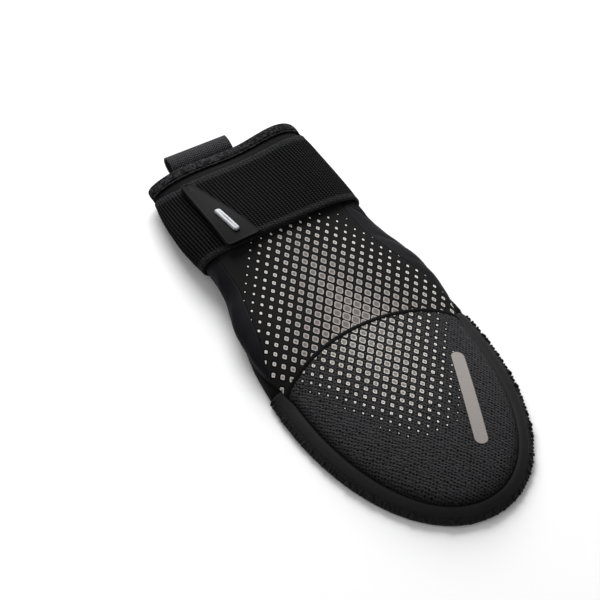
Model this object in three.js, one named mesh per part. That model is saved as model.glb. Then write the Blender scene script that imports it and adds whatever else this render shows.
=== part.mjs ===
// Sliding mitt: a padded hand guard lying on its palm, toe towards -Y, wrist opening towards +Y.
// Millimetres, +Z up. The origin is under the middle of the mitt, on the surface that it lies on.
import * as THREE from 'three';

// Overall sizes
const mittLength = 311;
const toeWidth = 135.4;
const wristHeight = 28;
const toeStart = 194;

// Padding and walls
const padThickness = 7.5;
const padEdgeHeight = 1.8;
const padEdgeRound = 2.6;
const padShoulder = 0.7;
const padTopEase = 0.08;
const padTopPart = 1.06;
const capWall = 3.6;
const panelWall = 2;
const gussetWall = 1.5;
const gussetLeast = 0.97;
const cuffWall = 2.4;
const rimWall = 1.6;
const seamGap = 0.3;
const layerGap = 0.3;

// Rim round the toe
const rimWidth = 9.7;
const rimWidthAtTip = 7.6;
const rimStart = 182;
const rimLeastHeight = 0.5;

// Seams of the upper
const panelStart = 68;
const palmStart = 79.5;
const toeSeamAt = 172;
const toeSeamBow = 15;

// Strap, tab and bar
const strapStart = 18.5;
const strapWidth = 65.5;
const strapBowLeft = 5.5;
const strapBowRight = 7.5;
const strapThickness = 1.9;
const strapHiddenEnd = 74;
const strapFreeEnd = 133;
const strapClimbStart = 385;
const strapClimbEnd = 422;
const strapSlack = 2.4;
const strapSlackPlace = 180;
const strapSlackSpread = 22;
const tabThickness = 1.6;
const tabWidthAtWrist = 6.8;
const tabWidthAtToe = 22.6;
const tabPlace = -40.4;
const tabCorner = 3;
const tabOverhang = 0.8;
const tabSetIn = 2;
const barLength = 23;
const barWidth = 4.2;
const barHeight = 0.9;
const barFromToeEnd = 7;
const barCrown = 0.6;
const barEndShare = 0.15;

// Binding and pull loop at the opening
const bindingThickness = 1;
const bindingWidth = 9;
const bindingCorner = 0.4;
const loopWidth = 43;
const loopMiddle = -10.5;
const loopReach = 20;
const loopTuck = 11;
const loopThickness = 1.4;
const loopHeight = 11;
const loopLift = 3.5;
const loopSeat = 0.6;

// Curve of the toe outline: 2 is an ellipse, more is squarer
const toeSquareness = 2.1;
const domeEase = 0.52;
const footFullness = 5;
const footShare = 0.45;
const palmShare = 0.86;
const capHeartShare = 0.125;
const capRings = [1, 0.985, 0.945, 0.86, 0.7, 0.45, 0.2];

// Sag of the wrist's top: the place of its lowest line across, and its spread, as shares of the half width
const sagPlace = 0.08;
const sagSpread = 0.55;

// Fineness of the faceted surfaces, as counts of steps
const padSideSteps = 12;
const toeSteps = 40;
const rimSideSteps = 3;
const capSeamSteps = 22;
const capToeSteps = 38;
const panelStepsAcross = 22;
const panelStepsAlong = 13;
const gussetStepsAlong = 22;
const gussetStepsAbove = 5;
const gussetStepsBelow = 3;
const wristSteps = 52;
const cuffStepsAlong = 5;
const strapStepsRound = 84;
const strapStepsAcross = 4;
const tabRows = [0, 0.03, 0.062, 0.2, 0.4, 0.6, 0.8, 0.938, 0.97, 1];
const tabStepsAcross = 6;
const barStepsAlong = 12;
const barStepsAcross = 4;
const loopStepsRound = 40;
const loopStepsAcross = 2;
const seamPasses = 6;

// Sections from the opening to the widest place of the toe.
// at: share of toeStart; width: share of the cap's half width; pad: share of half the toe width;
// top: share of the wrist height;
// foot: height of the widest place, from 0 at the pad's top to 1 at footShare of the wrist height;
// full: roundness of the upper; left and right: shares of the half width where the back panel ends.
const sections = [
  { at: 0.0, width: 0.905, pad: 0.7, top: 0.945, foot: 0.9, full: 4, left: 0.86, right: 0.72 },
  { at: 0.1, width: 0.922, pad: 0.7, top: 0.905, foot: 0.85, full: 3.8, left: 0.86, right: 0.72 },
  { at: 0.3, width: 0.934, pad: 0.7, top: 0.985, foot: 0.8, full: 4, left: 0.86, right: 0.72 },
  { at: 0.38, width: 0.934, pad: 0.7, top: 0.99, foot: 0.85, full: 3.8, left: 0.87, right: 0.72 },
  { at: 0.443, width: 0.938, pad: 0.713, top: 0.975, foot: 1, full: 3.4, left: 0.87, right: 0.73 },
  { at: 0.5, width: 0.944, pad: 0.739, top: 0.955, foot: 1, full: 3, left: 0.87, right: 0.74 },
  { at: 0.559, width: 0.972, pad: 0.778, top: 0.93, foot: 1, full: 2.7, left: 0.85, right: 0.745 },
  { at: 0.62, width: 1.03, pad: 0.832, top: 0.91, foot: 0.96, full: 2.5, left: 0.84, right: 0.755 },
  { at: 0.686, width: 1.087, pad: 0.885, top: 0.89, foot: 0.86, full: 2.35, left: 0.84, right: 0.79 },
  { at: 0.745, width: 1.102, pad: 0.922, top: 0.873, foot: 0.72, full: 2.3, left: 0.86, right: 0.85 },
  { at: 0.807, width: 1.103, pad: 0.957, top: 0.858, foot: 0.55, full: 2.25, left: 0.91, right: 0.9 },
  { at: 0.865, width: 1.09, pad: 0.975, top: 0.842, foot: 0.35, full: 2.2, left: 0.97, right: 0.945 },
  { at: 0.91, width: 1.06, pad: 0.985, top: 0.83, foot: 0.15, full: 2.2, left: 1.0, right: 0.985 },
  { at: 0.945, width: 1.028, pad: 0.992, top: 0.82, foot: 0, full: 2.2, left: 1.0, right: 1.0 },
  { at: 1.0, width: 1.0, pad: 1.0, top: 0.805, foot: 0, full: 2.2, left: 1.0, right: 1.0 },
];

// Slump of the soft wrist. at: share of toeStart; lean: share of the rise added at the right and taken
// off at the left; sag: share of the rise taken off at sagPlace.
const slump = [
  { at: 0, lean: 0.46, sag: 0.42 },
  { at: 0.1, lean: 0.38, sag: 0.24 },
  { at: 0.3, lean: 0.12, sag: 0.08 },
  { at: 0.38, lean: 0.06, sag: 0.02 },
  { at: 0.5, lean: 0, sag: 0 },
  { at: 1, lean: 0, sag: 0 },
];

// Folds of the gussets beside the strap.
// at: share of the gusset's length; spread: its reach, the same; depth: share of the gusset's wall;
// lean: how far the fold slopes towards the toe over the gusset's height, share of its length.
const gussetFolds = [
  { at: 0.06, spread: 0.035, depth: 0.7, lean: 0.1 },
  { at: 0.17, spread: 0.04, depth: -0.6, lean: 0.14 },
  { at: 0.29, spread: 0.045, depth: 0.5, lean: 0.16 },
];

// Rim profile from the cap's edge to the outer edge.
// out: share of the rim's width; height: share of the pad's thickness.
const rimProfile = [
  { out: 0.03, height: 1.1 },
  { out: 0.25, height: 1.09 },
  { out: 0.5, height: 0.96 },
  { out: 0.72, height: 0.76 },
  { out: 0.9, height: 0.52 },
  { out: 1.0, height: 0.34 },
];

const halfToe = toeWidth / 2;
const padTop = padThickness;
const footLow = padTop + seamGap;
const footHigh = wristHeight * footShare;
const cuffBottom = strapThickness + layerGap;
const toeLength = mittLength - toeStart;
const capHalfWidth = halfToe - rimWidth;
const capLength = toeLength - rimWidthAtTip;
const middle = (mittLength - loopReach) / 2;
const rise = sections[sections.length - 1].top * wristHeight - footLow;

// Reads one column of a table at a distance from the opening, on a smooth curve.
function tableValue(table, distance, column) {
  const at = THREE.MathUtils.clamp(distance / toeStart, 0, 1);
  let row = 0;
  while (row < table.length - 2 && table[row + 1].at < at) row += 1;
  const from = table[row];
  const to = table[row + 1];
  const before = table[Math.max(row - 1, 0)];
  const after = table[Math.min(row + 2, table.length - 1)];
  const span = to.at - from.at;
  const share = (at - from.at) / span;
  const slopeIn = ((to[column] - before[column]) / (to.at - before.at)) * span;
  const slopeOut = ((after[column] - from[column]) / (after.at - from.at)) * span;
  const square = share * share;
  const cube = square * share;
  return (2 * cube - 3 * square + 1) * from[column] + (cube - 2 * square + share) * slopeIn
    + (3 * square - 2 * cube) * to[column] + (cube - square) * slopeOut;
}

function sectionValue(distance, column) {
  return tableValue(sections, distance, column);
}

function padHalfWidth(distance) {
  return halfToe * sectionValue(distance, 'pad');
}

function upperHalfWidth(distance) {
  return capHalfWidth * sectionValue(distance, 'width');
}

function footHeight(distance) {
  const share = THREE.MathUtils.clamp(sectionValue(distance, 'foot'), 0, 1);
  return THREE.MathUtils.lerp(footLow, footHigh, share);
}

function domeShare(reach, fullness) {
  return Math.max(1 - Math.min(reach, 1) ** fullness, 0) ** domeEase;
}

// Height of the upper at a share of its half width, drawn in by an inset.
function upperHeight(distance, reach, inset) {
  const foot = footHeight(distance);
  const top = sectionValue(distance, 'top') * wristHeight;
  const fromSag = (reach - sagPlace) / sagSpread;
  const sag = tableValue(slump, distance, 'sag') * Math.exp(-fromSag * fromSag);
  const slumped = (top - foot) * (1 + tableValue(slump, distance, 'lean') * reach) * (1 - sag);
  return foot + (slumped - inset) * domeShare(Math.abs(reach), sectionValue(distance, 'full'));
}

// A point of the mitt's frame from a distance behind the opening's edge.
function place(x, distance, z) {
  return new THREE.Vector3(x, middle - distance, z);
}

// Upper surface of a section: side is -1 at the left foot, 0 on top, 1 at the right foot.
function upperPoint(distance, side, inset) {
  const turn = side * Math.PI / 2;
  const reach = Math.sin(turn);
  const x = (upperHalfWidth(distance) - inset) * reach;
  return place(x, distance, upperHeight(distance, reach, inset));
}

// Any point round the wrist: turn 0 is the right foot, a quarter the top, three quarters the palm side.
function wristPoint(distance, turn, inset) {
  const angle = turn * 2 * Math.PI;
  const reach = Math.cos(angle);
  const foot = footHeight(distance);
  const x = (upperHalfWidth(distance) - inset) * reach;
  if (Math.sin(angle) >= 0) return place(x, distance, upperHeight(distance, reach, inset));
  const drop = domeShare(Math.abs(reach), footFullness);
  return place(x, distance, foot - (foot - cuffBottom - inset) * drop);
}

// Height of the upper over a point of the plan, from the toe seam to the tip.
function capHeight(x, distance, inset) {
  if (distance <= toeStart) {
    return upperHeight(distance, x / (upperHalfWidth(distance) - inset), inset);
  }
  const across = (Math.abs(x) / (capHalfWidth - inset)) ** toeSquareness;
  const along = ((distance - toeStart) / (capLength - inset)) ** toeSquareness;
  const reach = (across + along) ** (1 / toeSquareness);
  return footLow + (rise - inset) * domeShare(reach, sections[sections.length - 1].full);
}

function toeSeamDistance(side) {
  const reach = Math.sin(side * Math.PI / 2);
  return toeSeamAt + toeSeamBow * reach * reach;
}

// Point of the toe's curve: turn 0 is the right side, 0.5 the tip, 1 the left side.
function toeCurve(halfWidth, length, turn) {
  const angle = turn * Math.PI;
  const across = Math.cos(angle);
  const along = Math.max(Math.sin(angle), 0);
  const power = 2 / toeSquareness;
  return {
    x: halfWidth * Math.sign(across) * Math.abs(across) ** power,
    distance: toeStart + length * along ** power,
  };
}

// A closed mesh from corners and faces.
function closedGeometry(points, faces) {
  const geometry = new THREE.BufferGeometry();
  const positions = new Float32Array(points.length * 3);
  points.forEach((point, index) => point.toArray(positions, index * 3));
  geometry.setAttribute('position', new THREE.BufferAttribute(positions, 3));
  geometry.setIndex(faces);
  if (signedVolume(points, faces) < 0) {
    geometry.setIndex(faces.map((_, index) => faces[index - (index % 3) + 2 - (index % 3)]));
  }
  geometry.computeVertexNormals();
  return geometry;
}

function signedVolume(points, faces) {
  let volume = 0;
  const normal = new THREE.Vector3();
  for (let index = 0; index < faces.length; index += 3) {
    normal.crossVectors(points[faces[index + 1]], points[faces[index + 2]]);
    volume += points[faces[index]].dot(normal);
  }
  return volume;
}

// A wall between an outer and an inner surface, both given as rows of points.
function wallGeometry(outer, inner) {
  const rows = outer.length;
  const columns = outer[0].length;
  const points = [...outer.flat(), ...inner.flat()];
  const faces = [];
  const outside = (row, column) => row * columns + column;
  const inside = (row, column) => (rows + row) * columns + column;
  const quad = (a, b, c, d) => faces.push(a, b, c, a, c, d);
  for (let row = 0; row < rows - 1; row += 1) {
    for (let column = 0; column < columns - 1; column += 1) {
      quad(outside(row, column), outside(row, column + 1), outside(row + 1, column + 1),
        outside(row + 1, column));
      quad(inside(row, column), inside(row + 1, column), inside(row + 1, column + 1),
        inside(row, column + 1));
    }
    quad(outside(row, 0), outside(row + 1, 0), inside(row + 1, 0), inside(row, 0));
    const last = columns - 1;
    quad(outside(row, last), inside(row, last), inside(row + 1, last), outside(row + 1, last));
  }
  for (let column = 0; column < columns - 1; column += 1) {
    quad(outside(0, column), inside(0, column), inside(0, column + 1), outside(0, column + 1));
    const last = rows - 1;
    quad(outside(last, column), outside(last, column + 1), inside(last, column + 1),
      inside(last, column));
  }
  return closedGeometry(points, faces);
}

// A closed band: each row is one profile, and the last row joins the first.
function ringGeometry(rows) {
  const size = rows[0].length;
  const points = rows.flat();
  const faces = [];
  for (let row = 0; row < rows.length; row += 1) {
    const next = (row + 1) % rows.length;
    for (let corner = 0; corner < size; corner += 1) {
      const other = (corner + 1) % size;
      const a = row * size + corner;
      const b = row * size + other;
      const c = next * size + other;
      const d = next * size + corner;
      faces.push(a, b, c, a, c, d);
    }
  }
  return closedGeometry(points, faces);
}

// A shell whose outer and inner surfaces are rings drawn in to a middle point.
function domeGeometry(outerRings, innerRings, outerMiddle, innerMiddle) {
  const count = outerRings[0].length;
  const points = [...outerRings.flat(), ...innerRings.flat(), outerMiddle, innerMiddle];
  const innerStart = outerRings.length * count;
  const outerTop = points.length - 2;
  const innerTop = points.length - 1;
  const faces = [];
  const quad = (a, b, c, d) => faces.push(a, b, c, a, c, d);
  for (let step = 0; step < count; step += 1) {
    const next = (step + 1) % count;
    for (let ring = 0; ring < outerRings.length - 1; ring += 1) {
      const a = ring * count;
      const b = a + count;
      quad(a + step, a + next, b + next, b + step);
      quad(innerStart + a + step, innerStart + b + step, innerStart + b + next, innerStart + a + next);
    }
    const lastRing = (outerRings.length - 1) * count;
    faces.push(lastRing + step, lastRing + next, outerTop);
    faces.push(innerStart + lastRing + next, innerStart + lastRing + step, innerTop);
    quad(step, innerStart + step, innerStart + next, next);
  }
  return closedGeometry(points, faces);
}

function steps(count) {
  return Array.from({ length: count + 1 }, (_, index) => index / count);
}

// Plan of the pad as one closed line, drawn in by a share of the local rim width, or at least by an inset.
function padOutline(rimPart, inset) {
  const line = [];
  const underUpper = steps(padSideSteps).map((share) => (
    THREE.MathUtils.lerp(palmStart + inset, rimStart - padEdgeRound / 2, share)));
  const sides = [...underUpper, rimStart, (rimStart + toeStart) / 2];
  const halfAt = (distance) => {
    const rim = padHalfWidth(distance) - upperHalfWidth(distance);
    return padHalfWidth(distance) - Math.max(rimPart * rim, inset);
  };
  sides.forEach((distance) => line.push({ x: halfAt(distance), distance }));
  const halfWidth = halfToe - Math.max(rimPart * rimWidth, inset);
  const length = toeLength - Math.max(rimPart * rimWidthAtTip, inset);
  steps(toeSteps).forEach((turn) => line.push(toeCurve(halfWidth, length, turn)));
  sides.reverse().forEach((distance) => line.push({ x: -halfAt(distance), distance }));
  return line;
}

function palmPad() {
  const edge = seamGap + rimWall / 2;
  const under = (row) => row.height * padThickness - rimWall - seamGap;
  const levels = [
    { rimPart: 0, inset: padEdgeRound, rimHeight: 0, plainHeight: 0 },
    { rimPart: 0, inset: edge, rimHeight: padEdgeHeight / 2, plainHeight: padEdgeHeight / 2 },
    { rimPart: 0, inset: edge, rimHeight: padEdgeHeight, plainHeight: padTop - padEdgeHeight },
    { rimPart: 1 - rimProfile[2].out, inset: edge + padShoulder,
      rimHeight: under(rimProfile[2]) - seamGap, plainHeight: padTop - padShoulder },
    { rimPart: 1, inset: edge + 2 * padShoulder, rimHeight: under(rimProfile[0]),
      plainHeight: padTop - padTopEase },
    { rimPart: padTopPart, inset: edge + 3 * padShoulder, rimHeight: padTop, plainHeight: padTop },
  ];
  const rings = levels.map((level) => padOutline(level.rimPart, level.inset).map((spot) => (
    place(spot.x, spot.distance, spot.distance < rimStart ? level.plainHeight : level.rimHeight))));
  const count = rings[0].length;
  const points = rings.flat();
  const faces = [];
  for (let ring = 0; ring < rings.length - 1; ring += 1) {
    for (let step = 0; step < count; step += 1) {
      const next = (step + 1) % count;
      const a = ring * count;
      const b = a + count;
      faces.push(a + step, a + next, b + next, a + step, b + next, b + step);
    }
  }
  const heart = (palmStart + mittLength) / 2;
  points.push(place(0, heart, 0), place(0, heart, padTop));
  const top = (rings.length - 1) * count;
  for (let step = 0; step < count; step += 1) {
    const next = (step + 1) % count;
    faces.push(next, step, points.length - 2);
    faces.push(top + step, top + next, points.length - 1);
  }
  return closedGeometry(points, faces);
}

function rimBand() {
  const line = [];
  const sides = steps(rimSideSteps).slice(0, -1).map((share) => (
    THREE.MathUtils.lerp(rimStart, toeStart, share)));
  const side = (distance, sign) => ({
    inner: { x: sign * upperHalfWidth(distance), distance },
    outer: { x: sign * padHalfWidth(distance), distance },
  });
  sides.forEach((distance) => line.push(side(distance, 1)));
  steps(toeSteps).forEach((turn) => line.push({
    inner: toeCurve(capHalfWidth, capLength, turn),
    outer: toeCurve(halfToe, toeLength, turn),
  }));
  [...sides].reverse().forEach((distance) => line.push(side(distance, -1)));
  const spot = (pair, out, z) => place(
    THREE.MathUtils.lerp(pair.inner.x, pair.outer.x, out),
    THREE.MathUtils.lerp(pair.inner.distance, pair.outer.distance, out),
    z,
  );
  const outer = line.map((pair) => rimProfile.map((row) => spot(pair, row.out, row.height * padThickness)));
  const inner = line.map((pair) => rimProfile.map((row) => {
    const z = Math.max(row.height * padThickness - rimWall, rimLeastHeight);
    return spot(pair, row.out, z);
  }));
  return wallGeometry(outer, inner);
}

function toeCap() {
  const outline = (inset) => {
    const line = steps(capSeamSteps).map((share) => {
      const side = 1 - 2 * share;
      const distance = toeSeamDistance(side) + seamGap / 2;
      return { x: (upperHalfWidth(distance) - inset) * Math.sin(side * Math.PI / 2), distance };
    });
    const seamEnd = toeSeamDistance(1) + seamGap / 2;
    const sides = [1 / 3, 2 / 3].map((share) => THREE.MathUtils.lerp(seamEnd, toeStart, share));
    sides.forEach((distance) => line.push({ x: inset - upperHalfWidth(distance), distance }));
    steps(capToeSteps).forEach((turn) => (
      line.push(toeCurve(capHalfWidth - inset, capLength - inset, 1 - turn))));
    sides.reverse().forEach((distance) => line.push({ x: upperHalfWidth(distance) - inset, distance }));
    return line;
  };
  const heart = toeStart + capLength * capHeartShare;
  const rings = (inset) => capRings.map((share) => outline(inset).map((spot) => {
    const x = spot.x * share;
    const distance = THREE.MathUtils.lerp(heart, spot.distance, share);
    return place(x, distance, capHeight(x, distance, inset));
  }));
  return domeGeometry(rings(0), rings(capWall),
    place(0, heart, capHeight(0, heart, 0)), place(0, heart, capHeight(0, heart, capWall)));
}

// Place of the back panel's seam on one side, as a share of the quarter turn from the top to the foot.
function panelSide(distance, column) {
  const share = THREE.MathUtils.clamp(sectionValue(distance, column), 0, 1);
  const side = Math.asin(share) * 2 / Math.PI;
  return distance < rimStart ? Math.min(side, gussetLeast - seamGap * sidePerMillimetre(distance, 1)) : side;
}

// The back panel's own place across, from -1 at its left seam to 1 at its right seam.
function acrossPanel(distance, share) {
  const left = -panelSide(distance, 'left');
  return THREE.MathUtils.lerp(left, panelSide(distance, 'right'), (share + 1) / 2);
}

// Quarter-turn share that one millimetre takes along a section.
function sidePerMillimetre(distance, side) {
  const small = 0.002;
  const from = upperPoint(distance, side - small, 0);
  return small / from.distanceTo(upperPoint(distance, side, 0));
}

function backPanel() {
  const across = steps(panelStepsAcross).map((share) => 2 * share - 1);
  const ends = across.map((share) => {
    let end = toeSeamDistance(share);
    for (let pass = 0; pass < seamPasses; pass += 1) end = toeSeamDistance(acrossPanel(end, share));
    return end - seamGap / 2;
  });
  const surface = (inset) => steps(panelStepsAlong).map((along) => across.map((share, column) => {
    const distance = THREE.MathUtils.lerp(panelStart + seamGap / 2, ends[column], along);
    return upperPoint(distance, acrossPanel(distance, share), inset);
  }));
  return wallGeometry(surface(0), surface(panelWall));
}

function foldDepth(along, up) {
  return gussetFolds.reduce((depth, fold) => {
    const from = (along - fold.at - fold.lean * (1 - up)) / fold.spread;
    return depth + fold.depth * gussetWall * Math.exp(-from * from) * Math.sin(Math.PI * up);
  }, 0);
}

// The gusset below its widest place: down is 0 there and 1 at the pad's top.
function hemPoint(distance, sign, down, inset) {
  const widest = upperHalfWidth(distance);
  const hem = Math.min(widest, padHalfWidth(distance));
  const x = THREE.MathUtils.lerp(widest, hem, down * down) - inset;
  return place(sign * x, distance, THREE.MathUtils.lerp(footHeight(distance), footLow, down));
}

function gusset(sign, column) {
  const end = rimStart - seamGap;
  const surface = (inset) => steps(gussetStepsAlong).map((along) => {
    const distance = THREE.MathUtils.lerp(panelStart + seamGap / 2, end, along);
    const upper = panelSide(distance, column);
    const start = upper + seamGap * sidePerMillimetre(distance, upper);
    const above = steps(gussetStepsAbove).slice(0, -1).map((down) => {
      const side = THREE.MathUtils.lerp(Math.min(start, gussetLeast), 1, down);
      return upperPoint(distance, sign * side, inset + foldDepth(along, 1 - down));
    });
    const below = steps(gussetStepsBelow).map((down) => hemPoint(distance, sign, down, inset));
    return [...above, ...below];
  });
  return wallGeometry(surface(0), surface(gussetWall));
}

function wristCuff() {
  const edge = bindingThickness + seamGap;
  const shares = steps(cuffStepsAlong);
  const rows = Array.from({ length: wristSteps }, (_, index) => {
    const turn = index / wristSteps;
    const palmSide = turn > 0.5 && Math.abs(Math.cos(turn * 2 * Math.PI)) < palmShare;
    const end = palmSide ? palmStart - seamGap : panelStart - seamGap / 2;
    const line = (inset) => shares.map((share) => (
      wristPoint(THREE.MathUtils.lerp(edge, end, share), turn, inset)));
    return [...line(0), ...line(cuffWall).reverse()];
  });
  return ringGeometry(rows);
}

function cuffBinding() {
  const edge = bindingThickness + seamGap;
  const outside = -seamGap - bindingThickness;
  const inside = cuffWall + seamGap + bindingThickness;
  const profile = [
    { inset: outside, distance: bindingWidth },
    { inset: outside, distance: bindingThickness * bindingCorner },
    { inset: outside * bindingCorner, distance: 0 },
    { inset: inside + outside * (1 - bindingCorner), distance: 0 },
    { inset: inside, distance: bindingThickness * bindingCorner },
    { inset: inside, distance: bindingWidth },
    { inset: cuffWall + seamGap, distance: bindingWidth },
    { inset: cuffWall + seamGap, distance: edge - seamGap },
    { inset: -seamGap, distance: edge - seamGap },
    { inset: -seamGap, distance: bindingWidth },
  ];
  const rows = Array.from({ length: wristSteps }, (_, index) => (
    profile.map((row) => wristPoint(row.distance, index / wristSteps, row.inset))));
  return ringGeometry(rows);
}

// Clearance of the strap from the mitt at a turn in degrees: it climbs over its own hidden end, and
// stands off at the left, where it is slack.
function strapLift(degrees, across) {
  const climb = THREE.MathUtils.smoothstep(degrees, strapClimbStart, strapClimbEnd);
  const fromSlack = (degrees - strapSlackPlace) / strapSlackSpread;
  const slack = strapSlack * Math.exp(-fromSlack * fromSlack) * Math.sin(Math.PI * across);
  return layerGap + climb * (strapThickness + layerGap) + slack;
}

// Distance along the mitt on the strap: across is 0 at its wrist edge, and it bows towards the toe on top.
function strapDistance(across, turn) {
  const reach = Math.cos(turn * 2 * Math.PI);
  const bow = Math.sin(turn * 2 * Math.PI) > 0 ? reach ** 4 : 1;
  const most = THREE.MathUtils.lerp(strapBowLeft, strapBowRight, (1 + reach) / 2);
  return strapStart + across * strapWidth - most * bow;
}

function wristStrap() {
  const total = 360 + strapFreeEnd - strapHiddenEnd;
  const surface = (thickness) => steps(strapStepsRound).map((share) => {
    const degrees = strapHiddenEnd + share * total;
    const turn = (degrees / 360) % 1;
    return steps(strapStepsAcross).map((across) => wristPoint(
      strapDistance(across, turn), turn, -(strapLift(degrees, across) + thickness)));
  });
  return wallGeometry(surface(strapThickness), surface(0));
}

// Height above the mitt of the outside of the strap's upper layer.
const strapTopLift = 2 * (layerGap + strapThickness);

// A point above the strap's upper layer, by its share of the strap's width and its place across.
function onStrap(across, x, lift) {
  const middleOfStrap = strapStart + strapWidth / 2;
  const reach = x / (upperHalfWidth(middleOfStrap) + lift);
  const turn = Math.acos(reach) / (2 * Math.PI);
  return wristPoint(strapDistance(across, turn), turn, -lift);
}

function strapTab() {
  const overhang = tabOverhang / strapWidth;
  const surface = (thickness) => tabRows.map((along) => {
    const width = THREE.MathUtils.lerp(tabWidthAtWrist, tabWidthAtToe, along);
    const fromEnd = Math.min(along, 1 - along) * strapWidth;
    const tuck = Math.max(tabCorner - fromEnd, 0);
    const cut = tabCorner - Math.sqrt(tabCorner * tabCorner - tuck * tuck);
    return steps(tabStepsAcross).map((across) => {
      const x = tabPlace + cut + across * (width - 2 * cut);
      const onWidth = THREE.MathUtils.lerp(tabSetIn / strapWidth, 1 + overhang, along);
      return onStrap(onWidth, x, strapTopLift + layerGap + thickness);
    });
  });
  return wallGeometry(surface(tabThickness), surface(0));
}

function tabBar() {
  const base = strapTopLift + tabThickness + 2 * layerGap;
  const surface = (height) => steps(barStepsAlong).map((along) => {
    const onTab = 1 - (barFromToeEnd + (1 - along) * barLength) / strapWidth;
    const fromEnd = Math.min(along, 1 - along) * barLength;
    const tuck = Math.max(barWidth / 2 - fromEnd, 0);
    const half = Math.max(Math.sqrt(barWidth * barWidth / 4 - tuck * tuck), barEndShare * barWidth);
    const centre = tabPlace + THREE.MathUtils.lerp(tabWidthAtWrist, tabWidthAtToe, onTab) / 2;
    return steps(barStepsAcross).map((across) => {
      const over = 2 * across - 1;
      const crown = 1 - barCrown * over * over;
      return onStrap(onTab, centre + over * half, base + height * crown);
    });
  });
  return wallGeometry(surface(barHeight), surface(0));
}

function pullLoop() {
  const palmInside = wristPoint(bindingWidth, 0.75, cuffWall + seamGap + bindingThickness).z;
  const low = palmInside + loopSeat + loopThickness / 2;
  const high = low + loopThickness + layerGap;
  const tip = (low + high) / 2 + loopLift;
  const half = (loopHeight - loopThickness) / 2;
  // Side view of the folded webbing. out: share of the loop's reach; tuck: share of its hidden part;
  // up: share of half the loop's height, from the tip's middle.
  const bends = [
    { out: 0.4, up: -0.9 },
    { out: 0.78, up: -0.75 },
    { out: 0.97, up: 0.1 },
    { out: 0.8, up: 1 },
    { out: 0.4, up: 0.8 },
  ];
  const tucked = [1, 0.5, 0];
  const path = new THREE.CatmullRomCurve3([
    ...tucked.map((share) => place(0, loopTuck * share, low)),
    ...bends.map((bend) => place(0, -loopReach * bend.out, tip + half * bend.up)),
    ...tucked.reverse().map((share) => place(0, loopTuck * share, high)),
  ]);
  const surface = (offset) => steps(loopStepsRound).map((share) => {
    const tangent = path.getTangent(share);
    const spot = path.getPoint(share).addScaledVector(
      new THREE.Vector3(0, tangent.z, -tangent.y), offset);
    return steps(loopStepsAcross).map((across) => spot.clone().setX(loopMiddle + (across - 0.5) * loopWidth));
  });
  return wallGeometry(surface(loopThickness / 2), surface(-loopThickness / 2));
}

function finish(colour, roughness, metalness) {
  return new THREE.MeshStandardMaterial({ color: colour, roughness, metalness });
}

const finishes = {
  knit: finish(0x1b1b1c, 0.85, 0),
  smooth: finish(0x1a191a, 0.7, 0),
  stretch: finish(0x17171a, 0.55, 0),
  mesh: finish(0x242426, 0.8, 0),
  foam: finish(0x1f1f1f, 0.8, 0),
  elastic: finish(0x161616, 0.9, 0),
  rubber: finish(0x27272a, 0.5, 0),
  silver: finish(0xb9b9b9, 0.35, 0.6),
};

const pieces = [
  { name: 'palm_pad', geometry: palmPad(), material: finishes.foam },
  { name: 'wrist_cuff', geometry: wristCuff(), material: finishes.smooth },
  { name: 'cuff_binding', geometry: cuffBinding(), material: finishes.knit },
  { name: 'back_panel', geometry: backPanel(), material: finishes.smooth },
  { name: 'gusset_left', geometry: gusset(-1, 'left'), material: finishes.stretch },
  { name: 'gusset_right', geometry: gusset(1, 'right'), material: finishes.stretch },
  { name: 'toe_cap', geometry: toeCap(), material: finishes.mesh },
  { name: 'rim_band', geometry: rimBand(), material: finishes.smooth },
  { name: 'wrist_strap', geometry: wristStrap(), material: finishes.elastic },
  { name: 'strap_tab', geometry: strapTab(), material: finishes.rubber },
  { name: 'tab_bar', geometry: tabBar(), material: finishes.silver },
  { name: 'pull_loop', geometry: pullLoop(), material: finishes.knit },
];

const slidingMitt = new THREE.Group();
pieces.forEach(({ name, geometry, material }) => {
  const mesh = new THREE.Mesh(geometry, material);
  mesh.name = name;
  slidingMitt.add(mesh);
});

export default slidingMitt;
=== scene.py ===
import math

import bpy
import numpy as np
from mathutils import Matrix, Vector


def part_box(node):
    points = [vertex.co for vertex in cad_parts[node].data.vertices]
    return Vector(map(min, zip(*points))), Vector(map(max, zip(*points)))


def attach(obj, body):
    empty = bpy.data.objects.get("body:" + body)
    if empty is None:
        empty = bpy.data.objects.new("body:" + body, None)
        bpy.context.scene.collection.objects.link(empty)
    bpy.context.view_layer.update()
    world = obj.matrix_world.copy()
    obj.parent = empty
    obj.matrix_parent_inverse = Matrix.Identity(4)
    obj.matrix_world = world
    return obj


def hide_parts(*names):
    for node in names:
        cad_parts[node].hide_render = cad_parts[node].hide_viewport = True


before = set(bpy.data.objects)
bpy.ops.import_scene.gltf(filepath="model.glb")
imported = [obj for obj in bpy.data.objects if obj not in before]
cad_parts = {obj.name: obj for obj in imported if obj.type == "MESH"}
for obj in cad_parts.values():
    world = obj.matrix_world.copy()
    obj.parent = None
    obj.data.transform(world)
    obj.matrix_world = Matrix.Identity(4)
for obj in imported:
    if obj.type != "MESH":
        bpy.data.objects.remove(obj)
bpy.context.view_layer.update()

# Studio
# A pale table top under soft light from behind, and the camera at the height and angle at which the
# mitt was pictured: standing before the toe, a little to its left.
MM = 0.001
CAMERA_AT = (-0.3807, -0.6134, 0.8149)
LOOKS_AT = (-0.01125, 0.0265, 0.0)
LENS_MM = 108.84
TABLE_SIZE = 6.0


def tint(red, green, blue):
    """A colour as it looks on a screen, 0 to 255 a channel, as Blender's linear one."""
    channels = [level / 255 for level in (red, green, blue)]
    return [c / 12.92 if c < 0.04045 else ((c + 0.055) / 1.055) ** 2.4 for c in channels] + [1.0]


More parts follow.
